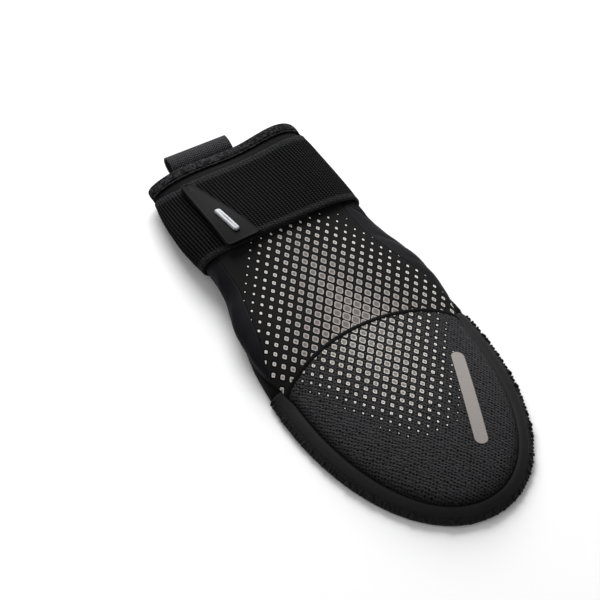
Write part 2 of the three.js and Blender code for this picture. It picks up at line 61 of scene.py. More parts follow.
def aim(thing, place, target):
    thing.location = place
    thing.rotation_mode = "QUATERNION"
    thing.rotation_quaternion = (Vector(target) - Vector(place)).to_track_quat("-Z", "Y")


def soft_light(name, place, size, power):
    lamp = bpy.data.lights.new(name, "AREA")
    lamp.shape = "SQUARE"
    lamp.size = size
    lamp.energy = power
    thing = bpy.data.objects.new(name, lamp)
    bpy.context.scene.collection.objects.link(thing)
    aim(thing, place, (0, 0, 0))
    return thing


lens = bpy.data.cameras.new("camera")
lens.lens = LENS_MM
lens.sensor_width = 36
camera = bpy.data.objects.new("camera", lens)
bpy.context.scene.collection.objects.link(camera)
aim(camera, CAMERA_AT, LOOKS_AT)
bpy.context.scene.camera = camera
bpy.context.scene.view_settings.view_transform = "Standard"

soft_light("light_behind", (0.5, 1.36, 0.88), 1.2, 47)
soft_light("light_left", (-1.3, 0.3, 1.4), 1.0, 4)
soft_light("light_front", (0.1, -1.4, 1.7), 1.2, 4)
air = bpy.data.worlds.new("air")
air.use_nodes = True
air.node_tree.nodes["Background"].inputs["Color"].default_value = (1, 1, 1, 1)
air.node_tree.nodes["Background"].inputs["Strength"].default_value = 0.3
bpy.context.scene.world = air

half_table = TABLE_SIZE / 2
table_mesh = bpy.data.meshes.new("table_top")
table_mesh.from_pydata(
    [(-half_table, -half_table, 0), (half_table, -half_table, 0),
     (half_table, half_table, 0), (-half_table, half_table, 0)], [], [(0, 1, 2, 3)])
table_top = bpy.data.objects.new("table_top", table_mesh)
bpy.context.scene.collection.objects.link(table_top)
table_paint = bpy.data.materials.new("table_paint")
table_paint.use_nodes = True
paint = table_paint.node_tree.nodes["Principled BSDF"]
paint.inputs["Base Color"].default_value = (0.98, 0.98, 0.98, 1)
paint.inputs["Roughness"].default_value = 0.9
paint.inputs["Specular IOR Level"].default_value = 0.0
table_mesh.materials.append(table_paint)

# Wrist cuff
# The padded tube round the wrist is a smooth black knit over thin foam, open at its far end. The shape of
# the whole upper is set out here, as sections from the cuff's edge to the widest place of the toe.
toe_width = (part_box("rim_band")[1].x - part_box("rim_band")[0].x) / MM
mitt_length = 311.0
opening_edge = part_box("cuff_binding")[1].y / MM
toe_start = 194.0
wrist_height = 28.0
rim_width = 9.7
rim_width_at_tip = 7.6
rim_start = 182.0
panel_start = 68.0
palm_start = 79.5
toe_seam_at = 172.0
toe_seam_bow = 15.0
pad_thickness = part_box("palm_pad")[1].z / MM
foot_low = pad_thickness + 0.3
foot_high = 0.45 * wrist_height
cuff_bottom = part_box("wrist_cuff")[0].z / MM
cuff_wall = 2.4
dome_ease = 0.52
palm_fullness = 5.0
binding_thickness = 1.0
binding_width = 9.0
half_toe = toe_width / 2
cap_half_width = half_toe - rim_width
toe_length = mitt_length - toe_start
cap_length = toe_length - rim_width_at_tip
toe_squareness = 2.1

# at: share of toe_start; width: share of the cap's half width; pad: share of half the toe width;
# top: share of the wrist height; foot: height of the widest place; full: roundness of the upper;
# left, right: ends of the back panel.
section_columns = ("at", "width", "pad", "top", "foot", "full", "left", "right")
section_rows = (
    (0.0, 0.905, 0.7, 0.945, 0.9, 4.0, 0.86, 0.72),
    (0.1, 0.922, 0.7, 0.905, 0.85, 3.8, 0.86, 0.72),
    (0.3, 0.934, 0.7, 0.985, 0.8, 4.0, 0.86, 0.72),
    (0.38, 0.934, 0.7, 0.99, 0.85, 3.8, 0.87, 0.72),
    (0.443, 0.938, 0.713, 0.975, 1.0, 3.4, 0.87, 0.73),
    (0.5, 0.944, 0.739, 0.955, 1.0, 3.0, 0.87, 0.74),
    (0.559, 0.972, 0.778, 0.93, 1.0, 2.7, 0.85, 0.745),
    (0.62, 1.03, 0.832, 0.91, 0.96, 2.5, 0.84, 0.755),
    (0.686, 1.087, 0.885, 0.89, 0.86, 2.35, 0.84, 0.79),
    (0.745, 1.102, 0.922, 0.873, 0.72, 2.3, 0.86, 0.85),
    (0.807, 1.103, 0.957, 0.858, 0.55, 2.25, 0.91, 0.9),
    (0.865, 1.09, 0.975, 0.842, 0.35, 2.2, 0.97, 0.945),
    (0.91, 1.06, 0.985, 0.83, 0.15, 2.2, 1.0, 0.985),
    (0.945, 1.028, 0.992, 0.82, 0.0, 2.2, 1.0, 1.0),
    (1.0, 1.0, 1.0, 0.805, 0.0, 2.2, 1.0, 1.0),
)
sections = dict(zip(section_columns, np.array(section_rows).T))
# Slump of the soft wrist: share of the rise added at the right and taken off at the left, and the
# share taken off at the lowest line, which runs a little right of the middle.
slump_rows = ((0.0, 0.46, 0.42), (0.1, 0.38, 0.24), (0.3, 0.12, 0.08), (0.38, 0.06, 0.02),
              (0.5, 0.0, 0.0), (1.0, 0.0, 0.0))
slump = dict(zip(("at", "lean", "sag"), np.array(slump_rows).T))
sag_place = 0.08
sag_spread = 0.55


def table_value(table, distance, column):
    """One column of a table at distances from the cuff's edge, on a smooth curve."""
    knots, values = table["at"], table[column]
    at = np.clip(np.asarray(distance, float) / toe_start, 0, 1)
    row = np.clip(np.searchsorted(knots, at) - 1, 0, len(knots) - 2)
    before, after = np.maximum(row - 1, 0), np.minimum(row + 2, len(knots) - 1)
    span = knots[row + 1] - knots[row]
    share = (at - knots[row]) / span
    slope_in = (values[row + 1] - values[before]) / (knots[row + 1] - knots[before]) * span
    slope_out = (values[after] - values[row]) / (knots[after] - knots[row]) * span
    square, cube = share ** 2, share ** 3
    return ((2 * cube - 3 * square + 1) * values[row] + (cube - 2 * square + share) * slope_in
            + (3 * square - 2 * cube) * values[row + 1] + (cube - square) * slope_out)


def section_value(distance, column):
    return table_value(sections, distance, column)


def mix(start, end, share):
    return start + (end - start) * share


def upper_half(distance):
    return cap_half_width * section_value(distance, "width")


def foot_height(distance):
    return mix(foot_low, foot_high, np.clip(section_value(distance, "foot"), 0, 1))


def dome_share(reach, full):
    return np.maximum(1 - np.minimum(np.abs(reach), 1) ** full, 0) ** dome_ease


def upper_height(distance, reach, inset):
    """Height of the upper at a share of its half width, drawn in by an inset."""
    foot = foot_height(distance)
    rise = section_value(distance, "top") * wrist_height - foot
    sag = table_value(slump, distance, "sag") * np.exp(-((reach - sag_place) / sag_spread) ** 2)
    slumped = rise * (1 + table_value(slump, distance, "lean") * reach) * (1 - sag)
    return foot + (slumped - inset) * dome_share(reach, section_value(distance, "full"))


def place(x, distance, z):
    """Points of the mitt's frame, in millimetres, from their distance behind the cuff's edge."""
    return np.stack(np.broadcast_arrays(x, opening_edge - distance, z), -1)


def upper_point(distance, side, inset):
    """The upper's surface: side is -1 at the left foot, 0 on top and 1 at the right foot."""
    reach = np.sin(side * np.pi / 2)
    return place((upper_half(distance) - inset) * reach, distance, upper_height(distance, reach, inset))


def wrist_point(distance, turn, inset):
    """Any point round the wrist: turn 0 is the right foot, a quarter the top, three quarters the palm."""
    angle = turn * 2 * np.pi
    reach = np.cos(angle)
    foot = foot_height(distance)
    below = foot - (foot - cuff_bottom - inset) * dome_share(reach, palm_fullness)
    z = np.where(np.sin(angle) >= 0, upper_height(distance, reach, inset), below)
    return place((upper_half(distance) - inset) * reach, distance, z)


def lengths(points, axis):
    """Running length along one axis of a grid of points, from 0."""
    pieces = np.linalg.norm(np.diff(points, axis=axis), axis=-1)
    start = np.zeros_like(np.take(pieces, [0], axis=axis))
    return np.concatenate([start, np.cumsum(pieces, axis=axis)], axis=axis)


def cloth_marks(points):
    """Places on the flat cloth in millimetres, across and along, for a grid of points."""
    return np.stack([lengths(points, 1), lengths(points, 0)], -1)


def signed_volume(mesh):
    mesh.calc_loop_triangles()
    corner = np.array([t.vertices for t in mesh.loop_triangles])
    co = np.array([v.co for v in mesh.vertices])
    a, b, c = co[corner[:, 0]], co[corner[:, 1]], co[corner[:, 2]]
    return float((a * np.cross(b, c)).sum())


def patch(rows, columns, start, flip, joined):
    """Quads of a grid whose first vertex is start, and the grid place of each of their corners."""
    row, column = np.meshgrid(np.arange(rows - 1), np.arange(columns - (0 if joined else 1)), indexing="ij")
    row, column = row.ravel(), column.ravel()
    spots = [(row, column), (row, column + 1), (row + 1, column + 1), (row + 1, column)]
    if flip:
        spots.reverse()
    quads = np.stack([start + r * columns + c % columns for r, c in spots], 1)
    return quads, np.stack([np.stack([r, c], -1) for r, c in spots], 1)


def mesh_piece(name, points, faces, marks, material):
    """A smooth-shaded object from points in millimetres; marks are the UV places, a row for each corner."""
    mesh = bpy.data.meshes.new(name)
    mesh.from_pydata((np.asarray(points) * MM).tolist(), [], [list(f) for f in faces])
    for label, values in marks.items():
        layer = mesh.uv_layers.new(name=label)
        layer.uv.foreach_set("vector", np.asarray(values, np.float32).ravel())
    mesh.materials.append(material)
    if signed_volume(mesh) < 0:
        mesh.flip_normals()
    mesh.shade_smooth()
    thing = bpy.data.objects.new(name, mesh)
    bpy.context.scene.collection.objects.link(thing)
    return thing


def wall_piece(name, outer, inner, material, marks=None, joined=False):
    """A closed wall of cloth between two grids of points; joined means the last column meets the first."""
    rows, columns = outer.shape[:2]
    marks = {"cloth": cloth_marks(outer)} if marks is None else marks
    back = rows * columns
    out_quads, out_spots = patch(rows, columns, 0, False, joined)
    in_quads, in_spots = patch(rows, columns, back, True, joined)
    quads, spots = [out_quads, in_quads], [out_spots, in_spots]
    across = np.arange(columns - (0 if joined else 1))
    down = np.arange(rows - 1)
    edges = [(np.zeros_like(across), across, (0, 1), True),
             (np.full_like(across, rows - 1), across, (0, 1), False)]
    if not joined:
        edges.append((down, np.zeros_like(down), (1, 0), False))
        edges.append((down, np.full_like(down, columns - 1), (1, 0), True))
    for row, column, step, turned in edges:
        a = row * columns + column
        b = (row + step[0]) * columns + (column + step[1]) % columns
        rim = np.stack([a, b, back + b, back + a], 1)
        at = np.stack([row, column], -1)
        rim_spots = np.stack([at, at + step, at + step, at], 1)
        quads.append(rim[:, ::-1] if turned else rim)
        spots.append(rim_spots[:, ::-1] if turned else rim_spots)
    quads, spots = np.concatenate(quads), np.concatenate(spots)
    values = {}
    for label, grid in marks.items():
        if joined and grid.shape[1] == columns:
            grid = np.concatenate([grid, 2 * grid[:, -1:] - grid[:, -2:-1]], 1)
        values[label] = grid[spots[..., 0], spots[..., 1]]
    points = np.concatenate([outer.reshape(-1, 3), inner.reshape(-1, 3)])
    return mesh_piece(name, points, quads, values, material)


def node(tree, kind, feed=(), **settings):
    """A node with its settings, each input fed by a value or by another node's socket."""
    made = tree.nodes.new(kind)
    for name, value in settings.items():
        setattr(made, name, value)
    for key, value in dict(feed).items():
        if isinstance(value, bpy.types.NodeSocket):
            tree.links.new(value, made.inputs[key])
        else:
            made.inputs[key].default_value = value
    return made


def maths(tree, operation, *values):
    return node(tree, "ShaderNodeMath", dict(enumerate(values)), operation=operation).outputs[0]


def blend_colours(tree, share, first, second):
    made = node(tree, "ShaderNodeMix", {0: share}, data_type="RGBA")
    for index, colour in ((6, first), (7, second)):
        if isinstance(colour, bpy.types.NodeSocket):
            tree.links.new(colour, made.inputs[index])
        else:
            made.inputs[index].default_value = colour
    return made.outputs[2]


def noise(tree, where, scale, detail):
    return node(tree, "ShaderNodeTexNoise", {"Vector": where, "Scale": scale, "Detail": detail}).outputs[0]


def ramp(tree, value, low, high, start, end, **settings):
    """A value carried from the range low to high over to start to end, and held there."""
    feed = {0: value, 1: low, 2: high, 3: start, 4: end}
    return node(tree, "ShaderNodeMapRange", feed, **settings).outputs[0]


def finish(name, roughness, specular, sheen=0.0, metallic=0.0):
    """A material with its constant finish set, its node tree, its shader and the places on its object."""
    material = bpy.data.materials.new(name)
    material.use_nodes = True
    tree = material.node_tree
    shader = tree.nodes["Principled BSDF"]
    constants = {"Roughness": roughness, "Specular IOR Level": specular, "Sheen Weight": sheen,
                 "Sheen Roughness": 0.4, "Metallic": metallic}
    for socket, value in constants.items():
        shader.inputs[socket].default_value = value
    return material, tree, shader, node(tree, "ShaderNodeTexCoord").outputs["Object"]


def cover(tree, shader, colour, height, strength, depth, invert=False):
    """Give a shader its colour, and a relief of a depth in millimetres."""
    tree.links.new(colour, shader.inputs["Base Color"])
    feed = {"Strength": strength, "Distance": depth * MM, "Height": height}
    tree.links.new(node(tree, "ShaderNodeBump", feed, invert=invert).outputs[0], shader.inputs["Normal"])


def knit_cloth(name, dark, light, grain_mm, grain_depth, roughness, sheen, specular, speckle=0.0):
    """Fine jersey: a pebbled grain of small stitches under slow changes of shade."""
    material, tree, shader, where = finish(name, roughness, specular, sheen)
    grain = node(tree, "ShaderNodeTexVoronoi", {"Vector": where, "Scale": 1 / (grain_mm * MM)},
                 feature="SMOOTH_F1").outputs["Distance"]
    cloud = maths(tree, "MULTIPLY", noise(tree, where, 45.0, 4.0), 0.5)
    shade = maths(tree, "MULTIPLY_ADD", noise(tree, where, 1900.0, 2.0), 0.5, cloud)
    shade = maths(tree, "MULTIPLY_ADD", shade, 1 - speckle, ramp(tree, grain, 0.1, 0.55, speckle, 0.0))
    cover(tree, shader, blend_colours(tree, shade, dark, light), grain, 0.6, grain_depth, invert=True)
    return material


def steps(count):
    return np.linspace(0, 1, count + 1)


cuff_cloth = knit_cloth("cuff_cloth", tint(5, 5, 5), tint(18, 17, 17), 0.55, 0.12, 0.75, 0.01, 0.05)
cuff_edge = binding_thickness + 0.3
cuff_turn = np.arange(160) / 160
palm_side = (cuff_turn > 0.5) & (np.abs(np.cos(cuff_turn * 2 * np.pi)) < 0.86)
cuff_end = np.where(palm_side, palm_start - 0.3, panel_start - 0.1)
cuff_along = mix(cuff_edge, cuff_end[None, :], steps(40)[:, None])
# The foam swells a little between the binding's seam and the strap.
cuff_swell = 0.5 * np.exp(-((cuff_along - 13.5) / 3.0) ** 2)
cuff = wall_piece("wrist_cuff_cloth", wrist_point(cuff_along, cuff_turn[None, :], -cuff_swell),
                  wrist_point(cuff_along, cuff_turn[None, :], cuff_wall), cuff_cloth, joined=True)
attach(cuff, "root")
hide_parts("wrist_cuff")

# Palm pad
# The stiff foam sole is covered with a plain hard-wearing knit and lies flat on whatever the mitt rests
# on. Round the toe it is stepped thinner, where the rim band is sewn on it.
rim_wall = 1.6
rim_profile = ((0.0, 1.1), (0.12, 1.11), (0.25, 1.09), (0.38, 1.03), (0.5, 0.96), (0.62, 0.87), (0.72, 0.76),
               (0.82, 0.64), (0.9, 0.52), (0.96, 0.42), (1.0, 0.34))


def pad_half(distance):
    return half_toe * section_value(distance, "pad")


def toe_curve(half_width, length, turn):
    """Toe outline: turn 0 is the right side, 0.5 the tip, 1 the left side; x and distance."""
    across = np.cos(turn * np.pi)
    along = np.maximum(np.sin(turn * np.pi), 0)
    power = 2 / toe_squareness
    x = half_width * np.sign(across) * np.abs(across) ** power
    return x, toe_start + length * along ** power


def pad_outline(rim_part, inset):
    distance = np.concatenate([mix(palm_start + inset, rim_start - 1, steps(60)),
                               mix(rim_start, toe_start, steps(8)[:-1])])
    rim = pad_half(distance) - upper_half(distance)
    half = pad_half(distance) - np.maximum(rim_part * rim, inset)
    toe_x, toe_distance = toe_curve(half_toe - max(rim_part * rim_width, inset),
                                    toe_length - max(rim_part * rim_width_at_tip, inset), steps(150))
    return (np.concatenate([half, toe_x, -half[::-1]]),
            np.concatenate([distance, toe_distance, distance[::-1]]))


def capped_piece(name, rings, first, last, material, marks=None):
    """A closed body from rings of points, drawn in to a point at each end; marks hold each point's place."""
    rings = np.stack(rings)
    rows, columns = rings.shape[:2]
    points = np.concatenate([rings.reshape(-1, 3), [first], [last]])
    marks = {"cloth": points[:, :2]} if marks is None else marks
    quads, _ = patch(rows, columns, 0, False, True)
    around = np.arange(columns)
    after = (around + 1) % columns
    last_row = (rows - 1) * columns
    middle = rows * columns
    faces = quads.tolist()
    faces += np.stack([after, around, np.full(columns, middle)], 1).tolist()
    faces += np.stack([last_row + around, last_row + after, np.full(columns, middle + 1)], 1).tolist()
    corners = np.concatenate([np.array(face) for face in faces])
    values = {label: np.asarray(places)[corners] for label, places in marks.items()}
    return mesh_piece(name, points, faces, values, material)


def drawn_in(ring, share):
    return pad_middle + (ring - pad_middle) * (share, share, 1)


pad_middle = np.array([0, opening_edge - (palm_start + mitt_length) / 2, 0.0])
pad_ease = 0.3 + rim_wall / 2
pad_levels = (
    # part of the rim, inset, height under the rim, height elsewhere
    (0.0, 3.2, 0.0, 0.0), (0.0, 2.2, 0.12, 0.12), (0.0, 1.5, 0.45, 0.5), (0.0, pad_ease, 1.0, 1.3),
    (0.0, pad_ease - 0.1, 1.4, 3.6), (0.0, pad_ease, 1.8, 5.4), (0.35, pad_ease + 0.5, 3.4, 6.5),
    (0.5, pad_ease + 0.9, 4.4, 6.95), (0.8, pad_ease + 1.4, 5.6, 7.3), (1.06, pad_ease + 2.2, 7.2, 7.5),
    (1.3, pad_ease + 5.0, 7.3, 7.5),
)
pad_rings = []
for rim_part, inset, rim_height, plain_height in pad_levels:
    x, distance = pad_outline(rim_part, inset)
    under_rim = np.clip((distance - (rim_start - 4)) / 4, 0, 1)
    pad_rings.append(place(x, distance, mix(plain_height, rim_height, under_rim)))
pad_rings = ([drawn_in(pad_rings[0], share) for share in (0.4, 0.75, 0.95)] + pad_rings
             + [drawn_in(pad_rings[-1], share) for share in (0.75, 0.4)])
pad_top = pad_middle + (0, 0, pad_thickness)
pad_cloth = knit_cloth("pad_cloth", tint(11, 11, 12), tint(26, 26, 27), 0.8, 0.2, 0.8, 0.01, 0.05)
pad = capped_piece("palm_pad_cover", pad_rings, pad_middle, pad_top, pad_cloth)
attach(pad, "root")
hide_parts("palm_pad")

# Rim band
# A smooth cloth band goes round the toe half, from the cap's foot down to the edge of the sole. It is
# pressed in along the row of stitches that runs near its outer edge.
rim_cloth = knit_cloth("rim_cloth", tint(22, 21, 22), tint(37, 36, 37), 0.45, 0.05, 0.62, 0.01, 0.08)
rim_stitch_place = 0.74
rim_groove_depth = 0.35
rim_sides = mix(rim_start, toe_start, steps(10)[:-1])
rim_inner_x, rim_inner_distance = toe_curve(cap_half_width, cap_length, steps(220))
rim_outer_x, rim_outer_distance = toe_curve(half_toe, toe_length, steps(220))
inner_x = np.concatenate([upper_half(rim_sides), rim_inner_x, -upper_half(rim_sides)[::-1]])
outer_x = np.concatenate([pad_half(rim_sides), rim_outer_x, -pad_half(rim_sides)[::-1]])
inner_distance = np.concatenate([rim_sides, rim_inner_distance, rim_sides[::-1]])
outer_distance = np.concatenate([rim_sides, rim_outer_distance, rim_sides[::-1]])


def rim_surface(out, drop):
    """The band's surface at shares of its width, from the cap to the outer edge."""
    height = np.interp(out, [row[0] for row in rim_profile], [row[1] for row in rim_profile]) * pad_thickness
    groove = rim_groove_depth * np.exp(-((out - rim_stitch_place) / 0.035) ** 2)
    z = np.maximum(height - groove - drop, 0.5)
    return place(mix(inner_x[:, None], outer_x[:, None], out),
                 mix(inner_distance[:, None], outer_distance[:, None], out), z)


rim_out = steps(40)[None, :]
rim = wall_piece("rim_band_cloth", rim_surface(rim_out, 0), rim_surface(rim_out, rim_wall), rim_cloth)
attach(rim, "root")
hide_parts("rim_band")

# Edge stitches of the rim
# Thick overlock thread is thrown over the raw edge of the band and the sole, round the whole toe half,
# with a plain row of lockstitches just inside it. Both are laid thread by thread along the edge.
overlock_pitch = 2.6
overlock_slant = 0.5
lock_pitch = 3.1


def spaced(line, pitch):
    """Points at equal steps along a line, and the way it runs there."""
    run = lengths(line, 0)
    count = int(run[-1] // pitch)
    at = (np.arange(count) + 0.5) * run[-1] / count

    def read(where):
        return np.stack([np.interp(where, run, line[:, axis]) for axis in range(3)], -1)

    way = read(at + 0.2) - read(at - 0.2)
    return read(at), way / np.linalg.norm(way, axis=1, keepdims=True)


def stitch_places(places, headings, slants):
    mesh = bpy.data.meshes.new("stitch_places")
    mesh.from_pydata((places * MM).tolist(), [], [])
    heading = mesh.attributes.new("heading", "FLOAT_VECTOR", "POINT")
    heading.data.foreach_set("vector", np.asarray(headings, np.float32).ravel())
    slant = mesh.attributes.new("slant", "FLOAT", "POINT")
    slant.data.foreach_set("value", np.asarray(slants, np.float32))
    thing = bpy.data.objects.new("stitch_places", mesh)
    bpy.context.scene.collection.objects.link(thing)
    return thing


def new_tree(name, sockets):
    tree = bpy.data.node_groups.new(name, "GeometryNodeTree")
    for label, kind in (("Geometry", "NodeSocketGeometry"), *sockets):
        tree.interface.new_socket(name=label, in_out="INPUT", socket_type=kind)
    tree.interface.new_socket(name="Geometry", in_out="OUTPUT", socket_type="NodeSocketGeometry")
    return tree, tree.nodes.new("NodeGroupInput").outputs


def end_tree(tree, geometry, material):
    whole = node(tree, "GeometryNodeRealizeInstances", {"Geometry": geometry})
    smooth = node(tree, "GeometryNodeSetShadeSmooth", {"Geometry": whole.outputs[0]})
    made = node(tree, "GeometryNodeSetMaterial", {"Geometry": smooth.outputs[0], "Material": material})
    node(tree, "NodeGroupOutput", {"Geometry": made.outputs[0]})


def read_attribute(tree, name, kind):
    return node(tree, "GeometryNodeInputNamedAttribute", {"Name": name}, data_type=kind).outputs["Attribute"]


def stitch_tree():
    """A thread over each point, bent from a start over a middle to an end in the point's own axes."""
    tree, entry = new_tree("stitch_row", (
        ("Start", "NodeSocketVector"), ("Middle", "NodeSocketVector"), ("End", "NodeSocketVector"),
        ("Thickness", "NodeSocketFloat"), ("Disorder", "NodeSocketFloat"), ("Seed", "NodeSocketInt"),
        ("Thread", "NodeSocketMaterial")))
    bow = node(tree, "GeometryNodeCurveQuadraticBezier", {
        "Resolution": 7, "Start": entry["Start"], "Middle": entry["Middle"], "End": entry["End"]})
    section = node(tree, "GeometryNodeCurvePrimitiveCircle", {"Resolution": 7, "Radius": entry["Thickness"]})
    thread = node(tree, "GeometryNodeCurveToMesh", {
        "Curve": bow.outputs[0], "Profile Curve": section.outputs[0], "Fill Caps": True})
    heading = node(tree, "FunctionNodeAlignRotationToVector",
                   {"Vector": read_attribute(tree, "heading", "FLOAT_VECTOR")}, axis="X", pivot_axis="Z")
    slack = entry["Disorder"]
    shake = node(tree, "FunctionNodeRandomValue", {
        0: maths(tree, "MULTIPLY", slack, -1.0), 1: slack, "Seed": entry["Seed"]}, data_type="FLOAT_VECTOR")
    slant = node(tree, "ShaderNodeCombineXYZ", {"Z": read_attribute(tree, "slant", "FLOAT")})
    turned = node(tree, "ShaderNodeVectorMath", {0: shake.outputs[0], 1: slant.outputs[0]}, operation="ADD")
    lean = node(tree, "FunctionNodeEulerToRotation", {0: turned.outputs[0]})
    turn = node(tree, "FunctionNodeRotateRotation", {0: heading.outputs[0], 1: lean.outputs[0]},
                rotation_space="LOCAL")
    size = node(tree, "FunctionNodeRandomValue", {
        2: maths(tree, "SUBTRACT", 1.0, slack), 3: maths(tree, "ADD", 1.0, slack), "Seed": entry["Seed"]},
        data_type="FLOAT")
    laid = node(tree, "GeometryNodeInstanceOnPoints", {
        "Points": entry["Geometry"], "Instance": thread.outputs[0], "Rotation": turn.outputs[0],
        "Scale": size.outputs[1]})
    end_tree(tree, laid.outputs[0], entry["Thread"])
    return tree


def grow(name, source, tree, **values):
    """The result of a node tree on an object, as a plain mesh that takes the object's place."""
    modifier = source.modifiers.new(name, "NODES")
    modifier.node_group = tree
    for item in tree.interface.items_tree:
        if item.in_out == "INPUT" and item.name in values:
            modifier[item.identifier] = values[item.name]
    graph = bpy.context.evaluated_depsgraph_get()
    mesh = bpy.data.meshes.new_from_object(source.evaluated_get(graph), preserve_all_data_layers=True,
                                           depsgraph=graph)
    mesh.name = name
    bpy.data.objects.remove(source)
    thing = bpy.data.objects.new(name, mesh)
    bpy.context.scene.collection.objects.link(thing)
    return thing


def grained(name, dark, light, cloud, grain, strength, depth, roughness, specular, sheen=0.0, metallic=0.0):
    """One stuff throughout: cloud and grain are the scale and the detail of its shades and of its relief."""
    material, tree, shader, where = finish(name, roughness, specular, sheen, metallic)
    colour = blend_colours(tree, noise(tree, where, *cloud), dark, light)
    cover(tree, shader, colour, noise(tree, where, *grain), strength, depth)
    return material


def millimetres(x, y, z):
    return (x * MM, y * MM, z * MM)


stitch_row = stitch_tree()
black_thread = grained("black_thread", tint(8, 8, 8), tint(34, 34, 34), (2600.0, 3.0), (2600.0, 3.0),
                       0.5, 0.1, 0.65, 0.12, 0.03)
rim_edge = place(outer_x, outer_distance, np.full_like(outer_x, 2.4))
overlock_at, overlock_way = spaced(rim_edge, overlock_pitch)
overlock_out = np.stack([-overlock_way[:, 1], overlock_way[:, 0], np.zeros(len(overlock_way))], -1)
overlock_lean = overlock_slant * (1 - 2 * (np.arange(len(overlock_at)) % 2))
overlock = grow("rim_overlock", stitch_places(overlock_at, overlock_out, overlock_lean), stitch_row,
                Start=millimetres(-1.5, 0, 1.9), Middle=millimetres(1.5, 0, 0.7),
                End=millimetres(-0.9, 0, -1.0), Thickness=0.7 * MM, Disorder=0.32, Seed=3,
                Thread=black_thread)
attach(overlock, "root")

lock_line = rim_surface(np.array([[rim_stitch_place]]), 0)[:, 0]
lock_at, lock_way = spaced(lock_line, lock_pitch)
lockstitch = grow("rim_lockstitch", stitch_places(lock_at, lock_way, np.zeros(len(lock_at))), stitch_row,
                  Start=millimetres(-0.95, 0, -0.15), Middle=millimetres(0, 0, 0.5),
                  End=millimetres(0.95, 0, -0.15), Thickness=0.24 * MM, Disorder=0.05, Seed=5,
                  Thread=black_thread)
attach(lockstitch, "root")
rim_length = float(lengths(rim_surface(rim_out, 0)[:, 20], 0)[-1])

# Side gussets
# Thin smooth stretch cloth joins the back panel to the sole on each side. It is slack beside the strap,
# where it creases on the slant.
gusset_wall = 1.5
gusset_least = 0.97
gusset_folds = (
    # share of the length, spread, depth in millimetres, slant over the height, side it shows on
    (0.06, 0.035, 0.7, 0.1, -1), (0.17, 0.04, -0.6, 0.14, -1), (0.29, 0.045, 0.5, 0.16, -1),
    (-0.13, 0.015, 1.7, 0.34, 1), (-0.08, 0.016, 2.0, 0.34, 1), (-0.03, 0.018, 2.0, 0.32, 1),
    (0.03, 0.02, 1.6, 0.3, 1), (0.1, 0.024, 1.0, 0.28, 1), (0.36, 0.03, 0.6, 0.2, 1),
    (0.42, 0.05, -0.4, 0.12, -1), (0.56, 0.03, 0.3, 0.16, 1), (0.68, 0.05, -0.4, 0.1, 0),
)


def panel_side(distance, column):
    """Place of the back panel's seam, as a share of the quarter turn from the top to the foot."""
    side = np.arcsin(np.clip(section_value(distance, column), 0, 1)) * 2 / np.pi
    return np.where(distance < rim_start, np.minimum(side, gusset_least - 0.004), side)


def hem_point(distance, sign, down, inset):
    widest = upper_half(distance)
    hem = np.minimum(widest, pad_half(distance) - 0.2)
    x = mix(widest, hem, down * down) - inset
    return place(sign * x, distance, mix(foot_height(distance), foot_low - 0.3, down))


def fold_depth(along, up, sign):
    depth = 0
    for at, spread, height, slant, side in gusset_folds:
        if side in (0, sign):
            away = (along - at - slant * (1 - up)) / spread
            depth = depth + height * np.exp(-away ** 2) * np.sin(np.pi * up)
    return depth


def gusset_surface(sign, column, inset):
    along = steps(150)[:, None]
    distance = mix(panel_start - 1, rim_start + 0.5, along)
    start = np.minimum(panel_side(distance, column), gusset_least)
    down = steps(34)[None, :]
    folded = inset + fold_depth(along, 1 - down * 0.9, sign)
    above = upper_point(distance, sign * mix(start, 1, down), folded)
    below = hem_point(distance, sign, steps(10)[None, 1:], inset)
    return np.concatenate([above, below], 1)


stretch_cloth = knit_cloth("stretch_cloth", tint(9, 9, 11), tint(19, 19, 23), 0.4, 0.04, 0.55, 0.0, 0.06)
for sign, side in ((-1, "left"), (1, "right")):
    surface = gusset_surface(sign, side, 0)
    lining = gusset_surface(sign, side, gusset_wall)
    gusset = wall_piece(f"gusset_{side}_cloth", surface, lining, stretch_cloth)
    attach(gusset, "root")
    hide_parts(f"gusset_{side}")

# Back panel
# Smooth matte cloth over the back of the hand, printed with a halftone of small grey diamonds that grow
# towards the seam at the toe. The diamonds stand in rows on the slant.
panel_wall = 2.0
diamond_across = 3.42
diamond_along = 4.87
diamond_start = (-18.7, 31.6)
diamond_squareness = 4.5
diamond_least = 0.12


def across_panel(distance, share):
    left, right = -panel_side(distance, "left"), panel_side(distance, "right")
    return mix(left, right, (share + 1) / 2)


def toe_seam_distance(side):
    return toe_seam_at + toe_seam_bow * np.sin(side * np.pi / 2) ** 2


def diamond_places(points, across, along, start):
    """Places in the print's slanted rows: whole steps of one diamond each way, counted from start."""
    right, back = (points[..., 0] - start[0]) / across, (points[..., 1] - start[1]) / along
    return np.stack([(right - back) / 2 + 0.5, (-right - back) / 2 + 0.5], -1)


def panel_diamonds(points):
    """Size of a diamond on the back panel, as a share of its cell."""
    x, y = np.abs(points[..., 0] + 1), points[..., 1]
    middle = 0.82 - 0.0047 * y
    reach = 76 - 0.6 * y
    return middle * np.clip(1.0 - (x / reach) ** 1.15, 0, 1) * np.clip((66 - y) / 8, 0, 1)


def marks_of(tree, label):
    """Both places of a piece's marks."""
    places = node(tree, "ShaderNodeUVMap", uv_map=label).outputs[0]
    return node(tree, "ShaderNodeSeparateXYZ", {0: places}).outputs[:2]


